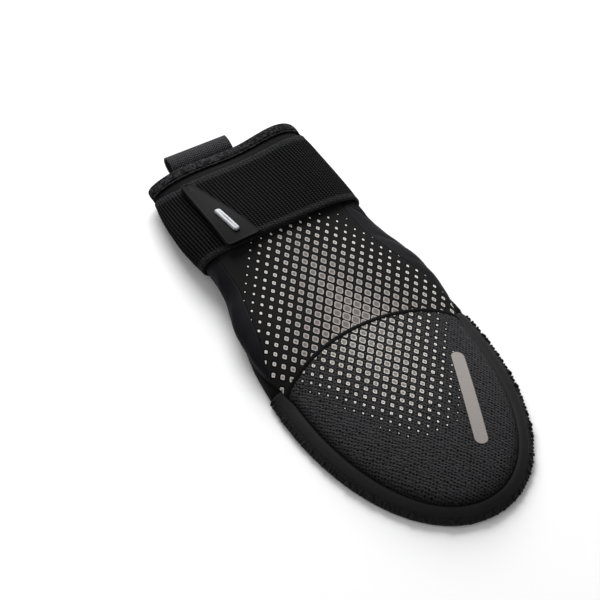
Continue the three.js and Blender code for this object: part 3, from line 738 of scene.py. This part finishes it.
def printed(tree, ground, ink, bright, knit_share=None):
    """The halftone over a ground colour: each diamond has a brighter edge and a dark line round it."""
    size = marks_of(tree, "print_size")[0]
    powers = []
    for cell in marks_of(tree, "print"):
        away = maths(tree, "ABSOLUTE", maths(tree, "SUBTRACT", maths(tree, "FRACT", cell), 0.5))
        powers.append(maths(tree, "POWER", away, diamond_squareness))
    away = maths(tree, "POWER", maths(tree, "ADD", *powers), 1 / diamond_squareness)
    inside = maths(tree, "SUBTRACT", maths(tree, "MULTIPLY", size, 0.5), away)
    seen = maths(tree, "GREATER_THAN", size, diamond_least)
    round_it = maths(tree, "MULTIPLY", ramp(tree, inside, -0.16, -0.08, 0.0, 0.9), seen)
    ground = blend_colours(tree, round_it, ground, tint(4, 4, 4))
    bright = blend_colours(tree, ramp(tree, size, 0.3, 0.6, 1.0, 0.0), bright, tint(226, 223, 219))
    paint = blend_colours(tree, ramp(tree, inside, 0.07, 0.17, 0.0, 1.0), bright, ink)
    shape = maths(tree, "MULTIPLY", ramp(tree, inside, -0.01, 0.03, 0.0, 1.0), seen)
    if knit_share is not None:
        shape = maths(tree, "MULTIPLY", shape, knit_share)
    return blend_colours(tree, shape, ground, paint), shape


def printed_cloth(name, dark, light, ink, bright):
    material, tree, shader, where = finish(name, 0.72, 0.03)
    grain = node(tree, "ShaderNodeTexVoronoi", {"Vector": where, "Scale": 2200.0}, feature="SMOOTH_F1")
    ground = blend_colours(tree, noise(tree, where, 60.0, 5.0), dark, light)
    colour, shape = printed(tree, ground, ink, bright)
    height = maths(tree, "MULTIPLY_ADD", shape, 0.8, maths(tree, "MULTIPLY", grain.outputs["Distance"], 0.5))
    cover(tree, shader, colour, height, 0.5, 0.08)
    return material


panel_share = (2 * steps(110) - 1)[None, :]
panel_end = toe_seam_distance(panel_share)
for _ in range(6):
    panel_end = toe_seam_distance(across_panel(panel_end, panel_share))
panel_distance = mix(panel_start - 1, panel_end + 0.4, steps(110)[:, None])
panel_place = across_panel(panel_distance, panel_share)
# The panel's edges turn down into the seams.
panel_tuck = 0.5 * np.exp(-((1 - np.abs(panel_share)) / 0.012) ** 2)
panel_surface = upper_point(panel_distance, panel_place, panel_tuck - 0.12)
panel_cloth = printed_cloth("panel_cloth", tint(22, 21, 21), tint(33, 32, 32), tint(110, 105, 102),
                            tint(166, 161, 157))
panel_size = panel_diamonds(panel_surface)
panel_marks = {"cloth": cloth_marks(panel_surface), "print_size": np.stack([panel_size, panel_size], -1),
               "print": diamond_places(panel_surface, diamond_across, diamond_along, diamond_start)}
panel_under = upper_point(panel_distance, panel_place, panel_wall)
panel = wall_piece("back_panel_cloth", panel_surface, panel_under, panel_cloth, panel_marks)
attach(panel, "root")
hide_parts("back_panel")

# Toe cap
# The padded dome over the fingers is covered in knitted mesh with small staggered holes. The halftone
# runs on over it from the seam and fades out, and a plain printed bar stands before the rim.
cap_wall = 3.6
mesh_pitch_across = 2.4
mesh_pitch_along = 3.15
mesh_sway = 0.8
cap_diamond_across = 3.28
cap_diamond_along = 4.4
cap_diamond_start = (-22.5, -50.0)
cap_full = 2.2
cap_rise = sections["top"][-1] * wrist_height - foot_low
cap_heart = toe_start + cap_length / 8
bar_print_from = (38.2, -68.5)
bar_print_to = (15.0, -130.5)
bar_print_width = 8.0


def cap_height(x, distance, inset):
    near = upper_height(distance, x / (upper_half(distance) - inset), inset)
    across = (np.abs(x) / (cap_half_width - inset)) ** toe_squareness
    along = (np.maximum(distance - toe_start, 0) / (cap_length - inset)) ** toe_squareness
    reach = (across + along) ** (1 / toe_squareness)
    far = foot_low + (cap_rise - inset) * dome_share(reach, cap_full)
    return np.where(distance <= toe_start, near, far)


def cap_outline(inset):
    side = 1 - 2 * steps(150)
    seam = toe_seam_distance(side) - 0.4
    line_x = [(upper_half(seam) - inset) * np.sin(side * np.pi / 2)]
    line_distance = [seam]
    edges = mix(seam[-1], toe_start, steps(12)[1:-1])
    toe_x, toe_distance = toe_curve(cap_half_width - inset, cap_length - inset, 1 - steps(330))
    line_x += [inset - upper_half(edges), toe_x, upper_half(edges)[::-1] - inset]
    line_distance += [edges, toe_distance, edges[::-1]]
    return np.concatenate(line_x), np.concatenate(line_distance)


def cap_ring(share, inset):
    x, distance = cap_outline(inset)
    x, distance = x * share, mix(cap_heart, distance, share)
    return place(x, distance, cap_height(x, distance, inset))


def cap_diamonds(points):
    """Size of a diamond on the cap: it fades towards the sides and in an arc before the toe."""
    x, y = np.abs(points[..., 0] + 2.5), points[..., 1]
    middle = 0.74 * (1 - np.clip((-30 - y) / 92, 0, 1) ** 2.4)
    reach = np.clip(76 + 0.46 * y, 8, 60)
    return middle * np.clip(1.0 - (x / reach) ** 1.6, 0, 1)


def mesh_holes(tree, where):
    """Staggered holes: two nets, each with its holes at the other's cell centres. Some are pulled shut."""
    flat_x, flat_y = marks_of(tree, "cloth")
    sway = maths(tree, "MULTIPLY", maths(tree, "SUBTRACT", noise(tree, where, 420.0, 2.0), 0.5), mesh_sway)
    column = maths(tree, "ADD", maths(tree, "DIVIDE", flat_x, mesh_pitch_across), sway)
    row = maths(tree, "ADD", maths(tree, "DIVIDE", flat_y, mesh_pitch_along), sway)
    holes = []
    for shift in (0.0, 0.5):
        cell_x, cell_y = maths(tree, "ADD", column, shift), maths(tree, "ADD", row, shift)
        away_y = maths(tree, "MULTIPLY", maths(tree, "SUBTRACT", maths(tree, "FRACT", cell_y), 0.5), 1.25)
        away_x = maths(tree, "SUBTRACT", maths(tree, "FRACT", cell_x), 0.5)
        away_x = maths(tree, "MULTIPLY_ADD", away_y, 0.5, away_x)
        squares = maths(tree, "ADD", maths(tree, "POWER", away_x, 2.0), maths(tree, "POWER", away_y, 2.0))
        hollow = ramp(tree, maths(tree, "SQRT", squares), 0.14, 0.4, 1.0, 0.0)
        number = node(tree, "ShaderNodeCombineXYZ", {
            0: maths(tree, "FLOOR", cell_x), 1: maths(tree, "FLOOR", cell_y), 2: shift})
        chance = node(tree, "ShaderNodeTexWhiteNoise", {0: number.outputs[0]}, noise_dimensions="3D")
        openness = ramp(tree, chance.outputs[0], 0.0, 0.6, 0.75, 1.0)
        holes.append(maths(tree, "MULTIPLY", hollow, openness))
    return maths(tree, "MAXIMUM", *holes)


def mesh_cloth(name, dark, light, hole_and_foot_shade, ink, bright):
    """Knitted mesh with the halftone and the plain bar printed on it, and painted shade where it goes down
    into the seam with the rim.
    """
    material, tree, shader, where = finish(name, 0.78, 0.05)
    knit = maths(tree, "SUBTRACT", 1.0, mesh_holes(tree, where))
    fibre = noise(tree, where, 2000.0, 3.0)
    thread = blend_colours(tree, ramp(tree, fibre, 0.3, 0.7, 0.0, 1.0), dark, light)
    ground = blend_colours(tree, knit, hole_and_foot_shade, thread)
    colour, _ = printed(tree, ground, ink, bright, ramp(tree, knit, 0.0, 0.5, 0.8, 1.0))
    bar_x, bar_y = marks_of(tree, "bar")
    half_line = (bar_print_length - bar_print_width) / 2
    past_end = maths(tree, "SUBTRACT", maths(tree, "ABSOLUTE", bar_y), half_line)
    squares = [maths(tree, "POWER", value, 2.0) for value in (bar_x, maths(tree, "MAXIMUM", past_end, 0.0))]
    from_line = maths(tree, "SQRT", maths(tree, "ADD", *squares))
    in_bar = ramp(tree, from_line, bar_print_width / 2 - 0.2, bar_print_width / 2 + 0.1, 1.0, 0.0)
    bar_ink = blend_colours(tree, fibre, tint(136, 130, 127), tint(168, 162, 159))
    colour = blend_colours(tree, in_bar, colour, bar_ink)
    # Painted shade: the mesh is darkened to the hole colour where it goes down into the seam with the rim.
    height_of = node(tree, "ShaderNodeSeparateXYZ", {0: where}).outputs[2]
    shaded = ramp(tree, height_of, 0.0085, 0.014, 0.7, 0.0, interpolation_type="SMOOTHSTEP")
    colour = blend_colours(tree, shaded, colour, hole_and_foot_shade)
    height = maths(tree, "MULTIPLY_ADD", fibre, 0.35, maths(tree, "MAXIMUM", knit, in_bar))
    cover(tree, shader, colour, height, 0.8, 0.3)
    return material


bar_way = np.array(bar_print_to) - np.array(bar_print_from)
bar_print_length = float(np.linalg.norm(bar_way))
bar_way = bar_way / bar_print_length
bar_middle = (np.array(bar_print_to) + np.array(bar_print_from)) / 2
cap_shares = np.concatenate([mix(0.02, 0.9, steps(60)), mix(0.9, 1.0, steps(16)[1:])])
outer_rings = [cap_ring(share, -0.05) for share in cap_shares]
inner_rings = [cap_ring(share, cap_wall) for share in (1.0, 0.985, 0.945, 0.86, 0.7, 0.45, 0.2)]
cap_top = place(0.0, cap_heart, cap_height(0.0, cap_heart, 0.0))
cap_under = place(0.0, cap_heart, cap_height(0.0, cap_heart, cap_wall))
cap_points = np.concatenate([np.stack(outer_rings + inner_rings).reshape(-1, 3), [cap_top], [cap_under]])
cap_size = cap_diamonds(cap_points)
# The mesh lies flat on the dome: its places run outwards from the middle by length on the surface.
outward = np.stack(outer_rings) - cap_top
run_out = lengths(outward, 0) + np.linalg.norm(outward[:1], axis=-1)
plan_way = outward[..., :2] / np.linalg.norm(outward[..., :2], axis=-1, keepdims=True)
mesh_flat = (plan_way * run_out[..., None]).reshape(-1, 2)
cap_flat = cap_points[:, :2] - cap_top[:2]
cap_flat[:len(mesh_flat)] = mesh_flat
from_bar = cap_points[:, :2] - bar_middle
cap_marks = {
    "cloth": cap_flat, "print_size": np.stack([cap_size, cap_size], -1),
    "print": diamond_places(cap_points, cap_diamond_across, cap_diamond_along, cap_diamond_start),
    "bar": np.stack([from_bar @ (-bar_way[1], bar_way[0]), from_bar @ bar_way], -1),
}
cap_cloth = mesh_cloth("cap_mesh", tint(26, 26, 27), tint(76, 76, 78), tint(2, 2, 3), tint(128, 123, 119),
                       tint(196, 192, 187))
cap = capped_piece("toe_cap_mesh", outer_rings + inner_rings, cap_top, cap_under, cap_cloth, cap_marks)
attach(cap, "root")
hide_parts("toe_cap")

# Toe seam
# The edge of the back panel is turned over the mesh of the cap and sewn down, which leaves a narrow dark
# ridge across the mitt.
seam_half_width = 1.5
seam_side = (2 * steps(200) - 1)[:, None]
seam_across = (2 * steps(12) - 1)[None, :]
seam_distance = toe_seam_distance(seam_side) + seam_across * seam_half_width
seam_crown = 0.4 * np.maximum(1 - seam_across ** 2, 0) + 0.06 * np.sin(seam_side * 190)
seam_cloth = knit_cloth("seam_cloth", tint(8, 8, 9), tint(20, 19, 20), 0.5, 0.1, 0.75, 0.0, 0.04)
seam = wall_piece("toe_seam_ridge", upper_point(seam_distance, seam_side, -seam_crown - 0.02),
                  upper_point(seam_distance, seam_side, 0.6), seam_cloth)
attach(seam, "root")

# Wrist strap
# Wide ribbed elastic goes once round the wrist and a sixth more, and holds on top by its free end. Its
# ribs run along the mitt between two flat woven edges.
strap_start = 18.5
strap_width = 65.5
strap_bow_left = 5.5
strap_bow_right = 7.5
strap_thickness = 1.9
layer_gap = 0.3
strap_hidden_end = 74.0
strap_free_end = 133.0
strap_climb_start = 385.0
strap_climb_end = 422.0
strap_slack = 2.4
strap_slack_place = 180.0
strap_slack_spread = 22.0
strap_flat_edge = 4.6
rib_pitch = 2.17
rib_depth = 0.28
rib_room = 0.15
rib_skew = 0.06
bead_pitch = 1.87


def strap_lift(degrees, across):
    """Clearance of the strap from the mitt: it climbs over its hidden end, and is slack at the left."""
    climb = np.clip((degrees - strap_climb_start) / (strap_climb_end - strap_climb_start), 0, 1)
    around = np.exp(-((degrees - strap_slack_place) / strap_slack_spread) ** 2)
    slack = strap_slack * around * np.sin(np.pi * across)
    return layer_gap + climb * climb * (3 - 2 * climb) * (strap_thickness + layer_gap) + slack


def strap_distance(across, turn):
    reach = np.cos(turn * 2 * np.pi)
    bow = np.where(np.sin(turn * 2 * np.pi) > 0, reach ** 4, 1)
    return strap_start + across * strap_width - mix(strap_bow_left, strap_bow_right, (1 + reach) / 2) * bow


def strap_surface(degrees, across, thickness):
    turn = (degrees / 360) % 1
    return wrist_point(strap_distance(across, turn), turn, -(strap_lift(degrees, across) + thickness))


def rib_tree():
    """Ribs across a band, raised along its normals between two flat edges."""
    tree, entry = new_tree("ribbed_band", (
        ("Pitch", "NodeSocketFloat"), ("Depth", "NodeSocketFloat"), ("Width", "NodeSocketFloat"),
        ("Selvage", "NodeSocketFloat"), ("Band", "NodeSocketMaterial")))
    flat = node(tree, "ShaderNodeSeparateXYZ", {0: read_attribute(tree, "cloth", "FLOAT_VECTOR")}).outputs
    ribs = maths(tree, "DIVIDE", flat[1], entry["Pitch"])
    wave = maths(tree, "COSINE", maths(tree, "MULTIPLY", ribs, 2 * math.pi))
    edge = maths(tree, "MINIMUM", flat[0], maths(tree, "SUBTRACT", entry["Width"], flat[0]))
    inner = ramp(tree, edge, entry["Selvage"], maths(tree, "ADD", entry["Selvage"], 1.0), 0.0, 1.0)
    height = maths(tree, "MULTIPLY", maths(tree, "MULTIPLY", wave, inner), entry["Depth"])
    normal = node(tree, "GeometryNodeInputNormal")
    offset = node(tree, "ShaderNodeVectorMath", {0: normal.outputs[0], "Scale": height}, operation="SCALE")
    moved = node(tree, "GeometryNodeSetPosition", {
        "Geometry": entry["Geometry"], "Offset": offset.outputs[0]})
    end_tree(tree, moved.outputs[0], entry["Band"])
    return tree


def elastic(name, dark, light, edge_light):
    """Woven elastic: a row of thread beads on each rib, with dark ground between and plain edges."""
    material, tree, shader, where = finish(name, 0.85, 0.05)
    across, along = marks_of(tree, "cloth")
    fuzz = noise(tree, where, 1300.0, 3.0)
    rib_number = maths(tree, "DIVIDE", along, rib_pitch)
    rib = maths(tree, "COSINE", maths(tree, "MULTIPLY", rib_number, 2 * math.pi))
    beside = maths(tree, "MULTIPLY", maths(tree, "FLOOR", maths(tree, "ADD", rib_number, 0.5)), 0.32)
    bead_number = maths(tree, "ADD", maths(tree, "DIVIDE", across, bead_pitch), beside)
    bead_number = maths(tree, "MULTIPLY_ADD", noise(tree, where, 260.0, 2.0), 0.7, bead_number)
    bead = maths(tree, "COSINE", maths(tree, "MULTIPLY", bead_number, 2 * math.pi))
    height = maths(tree, "MULTIPLY_ADD", bead, 0.45, maths(tree, "MULTIPLY", rib, 0.6))
    height = maths(tree, "ADD", height, maths(tree, "SUBTRACT", fuzz, 0.5))
    ribbed_colour = blend_colours(tree, ramp(tree, height, 0.08, 1.1, 0.0, 1.0), dark, light)
    plain_colour = blend_colours(tree, ramp(tree, fuzz, 0.3, 0.7, 0.0, 1.0), dark, edge_light)
    edge = maths(tree, "MINIMUM", across, maths(tree, "SUBTRACT", strap_width, across))
    ribbed = ramp(tree, edge, strap_flat_edge - 0.2, strap_flat_edge + 0.6, 0.0, 1.0)
    cover(tree, shader, blend_colours(tree, ribbed, plain_colour, ribbed_colour), height, 0.9, 0.35)
    return material


strap_total = 360 + strap_free_end - strap_hidden_end
strap_degrees = (strap_hidden_end + steps(1200) * strap_total)[:, None]
strap_across = steps(26)[None, :]
strap_outer = strap_surface(strap_degrees, strap_across, strap_thickness - rib_room)
# The ribs keep their count over the strap's width, so they are counted on its middle line, and they
# run a little askew.
strap_run = lengths(strap_outer[:, 13:14], 0) + rib_skew * strap_width * strap_across
strap_marks = {"cloth": np.stack(np.broadcast_arrays(strap_width * strap_across, strap_run), -1)}
strap_elastic = elastic("strap_elastic", tint(2, 2, 2), tint(43, 43, 45), tint(48, 48, 50))
strap_band = wall_piece("strap_band", strap_outer, strap_surface(strap_degrees, strap_across, rib_room),
                        strap_elastic, strap_marks)
strap = grow("wrist_strap_elastic", strap_band, rib_tree(), Pitch=rib_pitch, Depth=rib_depth * MM,
             Width=strap_width, Selvage=strap_flat_edge, Band=strap_elastic)
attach(strap, "root")
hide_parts("wrist_strap")

# Strap tab
# A moulded rubber tab is sewn over the free end of the strap. It widens towards the toe and has rounded
# corners, a fine bevel round its edge and a matte face.
tab_thickness = 1.6
tab_width_at_wrist = 6.8
tab_width_at_toe = 22.6
tab_place = -40.4
tab_corner = 3.0
tab_overhang = 0.8
tab_set_in = 2.0
tab_heart_along = 0.62
strap_top_lift = 2 * (layer_gap + strap_thickness)


def on_strap(across, x, lift):
    reach = x / (upper_half(strap_start + strap_width / 2) + lift)
    turn = np.arccos(reach) / (2 * np.pi)
    return wrist_point(strap_distance(across, turn), turn, -lift)


def tab_spot(along, across, drawn, lift):
    """A point of the tab by its shares along and across, drawn in from its outline, above the strap."""
    width = mix(tab_width_at_wrist, tab_width_at_toe, along)
    tuck = np.maximum(tab_corner - np.minimum(along, 1 - along) * strap_width, 0)
    cut = tab_corner - np.sqrt(tab_corner ** 2 - tuck ** 2) + drawn
    x = tab_place + cut + across * (width - 2 * cut)
    length = strap_width + tab_overhang
    on_width = mix((tab_set_in + drawn) / strap_width, (length - drawn) / strap_width, along)
    return on_strap(on_width, x, strap_top_lift + layer_gap + lift)


tab_along = np.unique(np.concatenate([steps(60), tab_corner / strap_width * steps(8) ** 2,
                                      1 - tab_corner / strap_width * steps(8) ** 2]))
rubber = grained("tab_rubber", tint(10, 9, 12), tint(15, 14, 17), (90.0, 3.0), (1800.0, 3.0),
                 0.3, 0.05, 0.6, 0.05)
# How far each level is drawn in from the edge, and its height: the face stands on a bevel.
tab_levels = ((0.0, -0.2), (0.0, 0.9), (0.12, 1.3), (0.35, 1.55), (0.6, 1.6), (0.85, 1.46), (1.2, 1.44))


def tab_loop(drawn, lift, share=1.0):
    """The tab's outline, or a share of it about the tab's middle, as one closed ring."""
    ends = steps(20)[1:-1]
    along = np.concatenate([tab_along, np.ones(len(ends)), tab_along[::-1], np.zeros(len(ends))])
    across = np.concatenate([np.ones(len(tab_along)), ends[::-1], np.zeros(len(tab_along)), ends])
    return tab_spot(mix(tab_heart_along, along, share), mix(0.5, across, share), drawn, lift)


tab_rings = [tab_loop(drawn, lift) for drawn, lift in tab_levels]
tab_rings += [tab_loop(*tab_levels[-1], share) for share in (0.8, 0.6, 0.4, 0.2, 0.05)]
tab_heart = tab_spot(tab_heart_along, 0.5, *tab_levels[-1])
tab_under = tab_spot(tab_heart_along, 0.5, *tab_levels[0])
tab = capped_piece("strap_tab_rubber", tab_rings, tab_under, tab_heart, rubber)
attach(tab, "root")
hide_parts("strap_tab")

# Bar on the tab
# A plain raised bar of silvered rubber with round ends lies along the middle of the tab, near its toe
# end, and is moulded on it.
silver = grained("bar_silver", tint(118, 119, 122), tint(146, 147, 150), (300.0, 4.0), (300.0, 4.0),
                 0.2, 0.04, 0.42, 0.3, metallic=0.3)
bar_length = 23.0
bar_width = 4.2
bar_height = 0.9
bar_from_toe_end = 7.0


def bar_ring(drawn, lift):
    """One level of the bar: a long ring with half-round ends, drawn in from its outline."""
    angle = np.arange(72) / 72 * 2 * np.pi
    straight = bar_length / 2 - bar_width / 2
    along = np.sign(np.sin(angle)) * straight + (bar_width / 2 - drawn) * np.sin(angle)
    across = (bar_width / 2 - drawn) * np.cos(angle)
    on_tab = 1 - (bar_from_toe_end + bar_length / 2 - along) / strap_width
    centre = tab_place + mix(tab_width_at_wrist, tab_width_at_toe, on_tab) / 2
    return on_strap(on_tab, centre + across, strap_top_lift + tab_thickness + 2 * layer_gap + lift)


bar_levels = ((0.0, -0.35), (0.0, 0.35), (0.18, 0.6), (0.5, 0.8), (1.0, bar_height), (1.6, bar_height))
bar_rings = [bar_ring(drawn, lift) for drawn, lift in bar_levels]
bar_points = np.stack(bar_rings)
bar_under, bar_over = bar_points[0].mean(0), bar_points[-1].mean(0)
bar = capped_piece("tab_bar_silver", bar_rings, bar_under, bar_over, silver)
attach(bar, "root")
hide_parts("tab_bar")

# Binding of the opening
# Coarse knit tape is folded over the cuff's edge, inside and out, and sewn through near its toe side,
# where the stitches draw it into a groove.
fold_middle = cuff_wall / 2
fold_half = fold_middle + 0.3 + binding_thickness
fold_at = 2.2
groove_at = 7.6
groove_depth = 0.8
tape_swell = 0.35


def binding_path(half, end_distance, start_distance, count):
    """Section of the folded tape, from its outer edge over the fold to its inner edge: inset, distance."""
    straight = mix(end_distance, fold_at, steps(count)[:-1])
    angle = steps(count) * np.pi
    bend_inset = fold_middle - half * np.cos(angle)
    bend_distance = fold_at - (fold_at - start_distance) * np.sin(angle)
    outside, inside = np.full(count, fold_middle - half), np.full(count, fold_middle + half)
    inset = np.concatenate([outside, bend_inset, inside])
    return inset, np.concatenate([straight, bend_distance, straight[::-1]])


binding_turn = (np.arange(400) / 400)[None, :]
tape_inset, tape_distance = binding_path(fold_half, binding_width, 0.0, 30)
under_inset, under_distance = binding_path(fold_middle + 0.2, binding_width, 1.2, 30)
groove = groove_depth * np.exp(-((tape_distance - groove_at) / 0.4) ** 2)
swell = tape_swell * np.sin(np.clip((tape_distance - 0.2) / 7.0, 0, 1) * np.pi)
tape_inset = tape_inset + (groove - swell) * np.sign(fold_middle - tape_inset)
tape_surface = wrist_point(tape_distance[:, None], binding_turn, tape_inset[:, None])
tape_cloth = knit_cloth("tape_cloth", tint(2, 2, 3), tint(62, 62, 64), 1.5, 0.5, 0.85, 0.0, 0.05, 0.75)
tape_under = wrist_point(under_distance[:, None], binding_turn, under_inset[:, None])
binding = wall_piece("cuff_binding_tape", tape_surface, tape_under, tape_cloth, joined=True)
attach(binding, "root")
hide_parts("cuff_binding")
opening_round = float(lengths(wrist_point(3.0, steps(400), 0.0), 0)[-1])

# Pull loop
# A short length of coarse woven webbing is doubled into a loop and sewn inside the palm edge of the
# opening. Its ends are flat and its fold stands open.
loop_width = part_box("pull_loop")[1].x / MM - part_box("pull_loop")[0].x / MM
loop_middle = (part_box("pull_loop")[1].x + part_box("pull_loop")[0].x) / 2 / MM
loop_reach = 20.0
loop_tuck = 11.0
loop_thickness = 1.4
loop_height = 11.0
loop_lift = 3.5
palm_inside = wrist_point(binding_width, 0.75, cuff_wall + 0.3 + binding_thickness)[2]
loop_low = palm_inside + 0.6 + loop_thickness / 2
loop_high = loop_low + loop_thickness + layer_gap
loop_tip = (loop_low + loop_high) / 2 + loop_lift
loop_half = (loop_height - loop_thickness) / 2
# Side view of the open fold: share of the reach beyond the edge, height in halves of the loop's height.
loop_bends = ((0.4, -0.9), (0.78, -0.75), (0.97, 0.1), (0.8, 1.0), (0.4, 0.8))


def smooth_line(points, count):
    """A Catmull-Rom curve through points, with count steps to a span."""
    points = np.asarray(points, float)
    padded = np.concatenate([[2 * points[0] - points[1]], points, [2 * points[-1] - points[-2]]])
    share = (np.arange(count) / count)[:, None]
    line = []
    for a, b, c, d in zip(padded, padded[1:], padded[2:], padded[3:]):
        line.append(0.5 * (2 * b + (c - a) * share + (2 * a - 5 * b + 4 * c - d) * share ** 2
                           + (3 * b - a - 3 * c + d) * share ** 3))
    return np.concatenate(line + [points[-1:]])


loop_tucked = [(opening_edge - loop_tuck * share, loop_low) for share in (1, 0.5, 0)]
loop_open = [(opening_edge + loop_reach * out, loop_tip + loop_half * up) for out, up in loop_bends]
loop_back = [(y, loop_high) for y, _ in loop_tucked[::-1]]
loop_line = smooth_line(loop_tucked + loop_open + loop_back, 10)
loop_run = lengths(loop_line, 0)
loop_even = np.linspace(0, loop_run[-1], 160)
loop_fine = np.stack([np.interp(loop_even, loop_run, loop_line[:, axis]) for axis in (0, 1)], -1)
loop_way = np.gradient(loop_fine, axis=0)
loop_way /= np.linalg.norm(loop_way, axis=1, keepdims=True)


def loop_surface(offset):
    across = steps(60)[None, :]
    y = (loop_fine[:, 0] - loop_way[:, 1] * offset)[:, None]
    z = (loop_fine[:, 1] + loop_way[:, 0] * offset)[:, None]
    x = loop_middle + (across - 0.5) * loop_width
    return np.stack(np.broadcast_arrays(x, y, z), -1)


def webbing(name, dark, light):
    """Coarse webbing: short slanted floats of thread that change way from one row to the next."""
    material, tree, shader, where = finish(name, 0.8, 0.1, 0.03)
    across, along = marks_of(tree, "cloth")
    slanted = maths(tree, "ADD", along, maths(tree, "PINGPONG", across, 2.6))
    twill = maths(tree, "SINE", maths(tree, "MULTIPLY", slanted, 2 * math.pi / 1.9))
    floats = maths(tree, "SINE", maths(tree, "MULTIPLY", across, 2 * math.pi / 1.3))
    fuzzy = maths(tree, "MULTIPLY_ADD", floats, 0.25, noise(tree, where, 1500.0, 3.0))
    height = maths(tree, "MULTIPLY_ADD", twill, 0.45, fuzzy)
    shade = ramp(tree, height, -0.1, 1.2, 0.0, 1.0)
    cover(tree, shader, blend_colours(tree, shade, dark, light), height, 0.9, 0.35)
    return material


loop_outer = loop_surface(-loop_thickness / 2)
loop_web = webbing("loop_webbing", tint(2, 2, 3), tint(72, 71, 74))
loop = wall_piece("pull_loop_webbing", loop_outer, loop_surface(loop_thickness / 2), loop_web)
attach(loop, "root")
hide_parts("pull_loop")
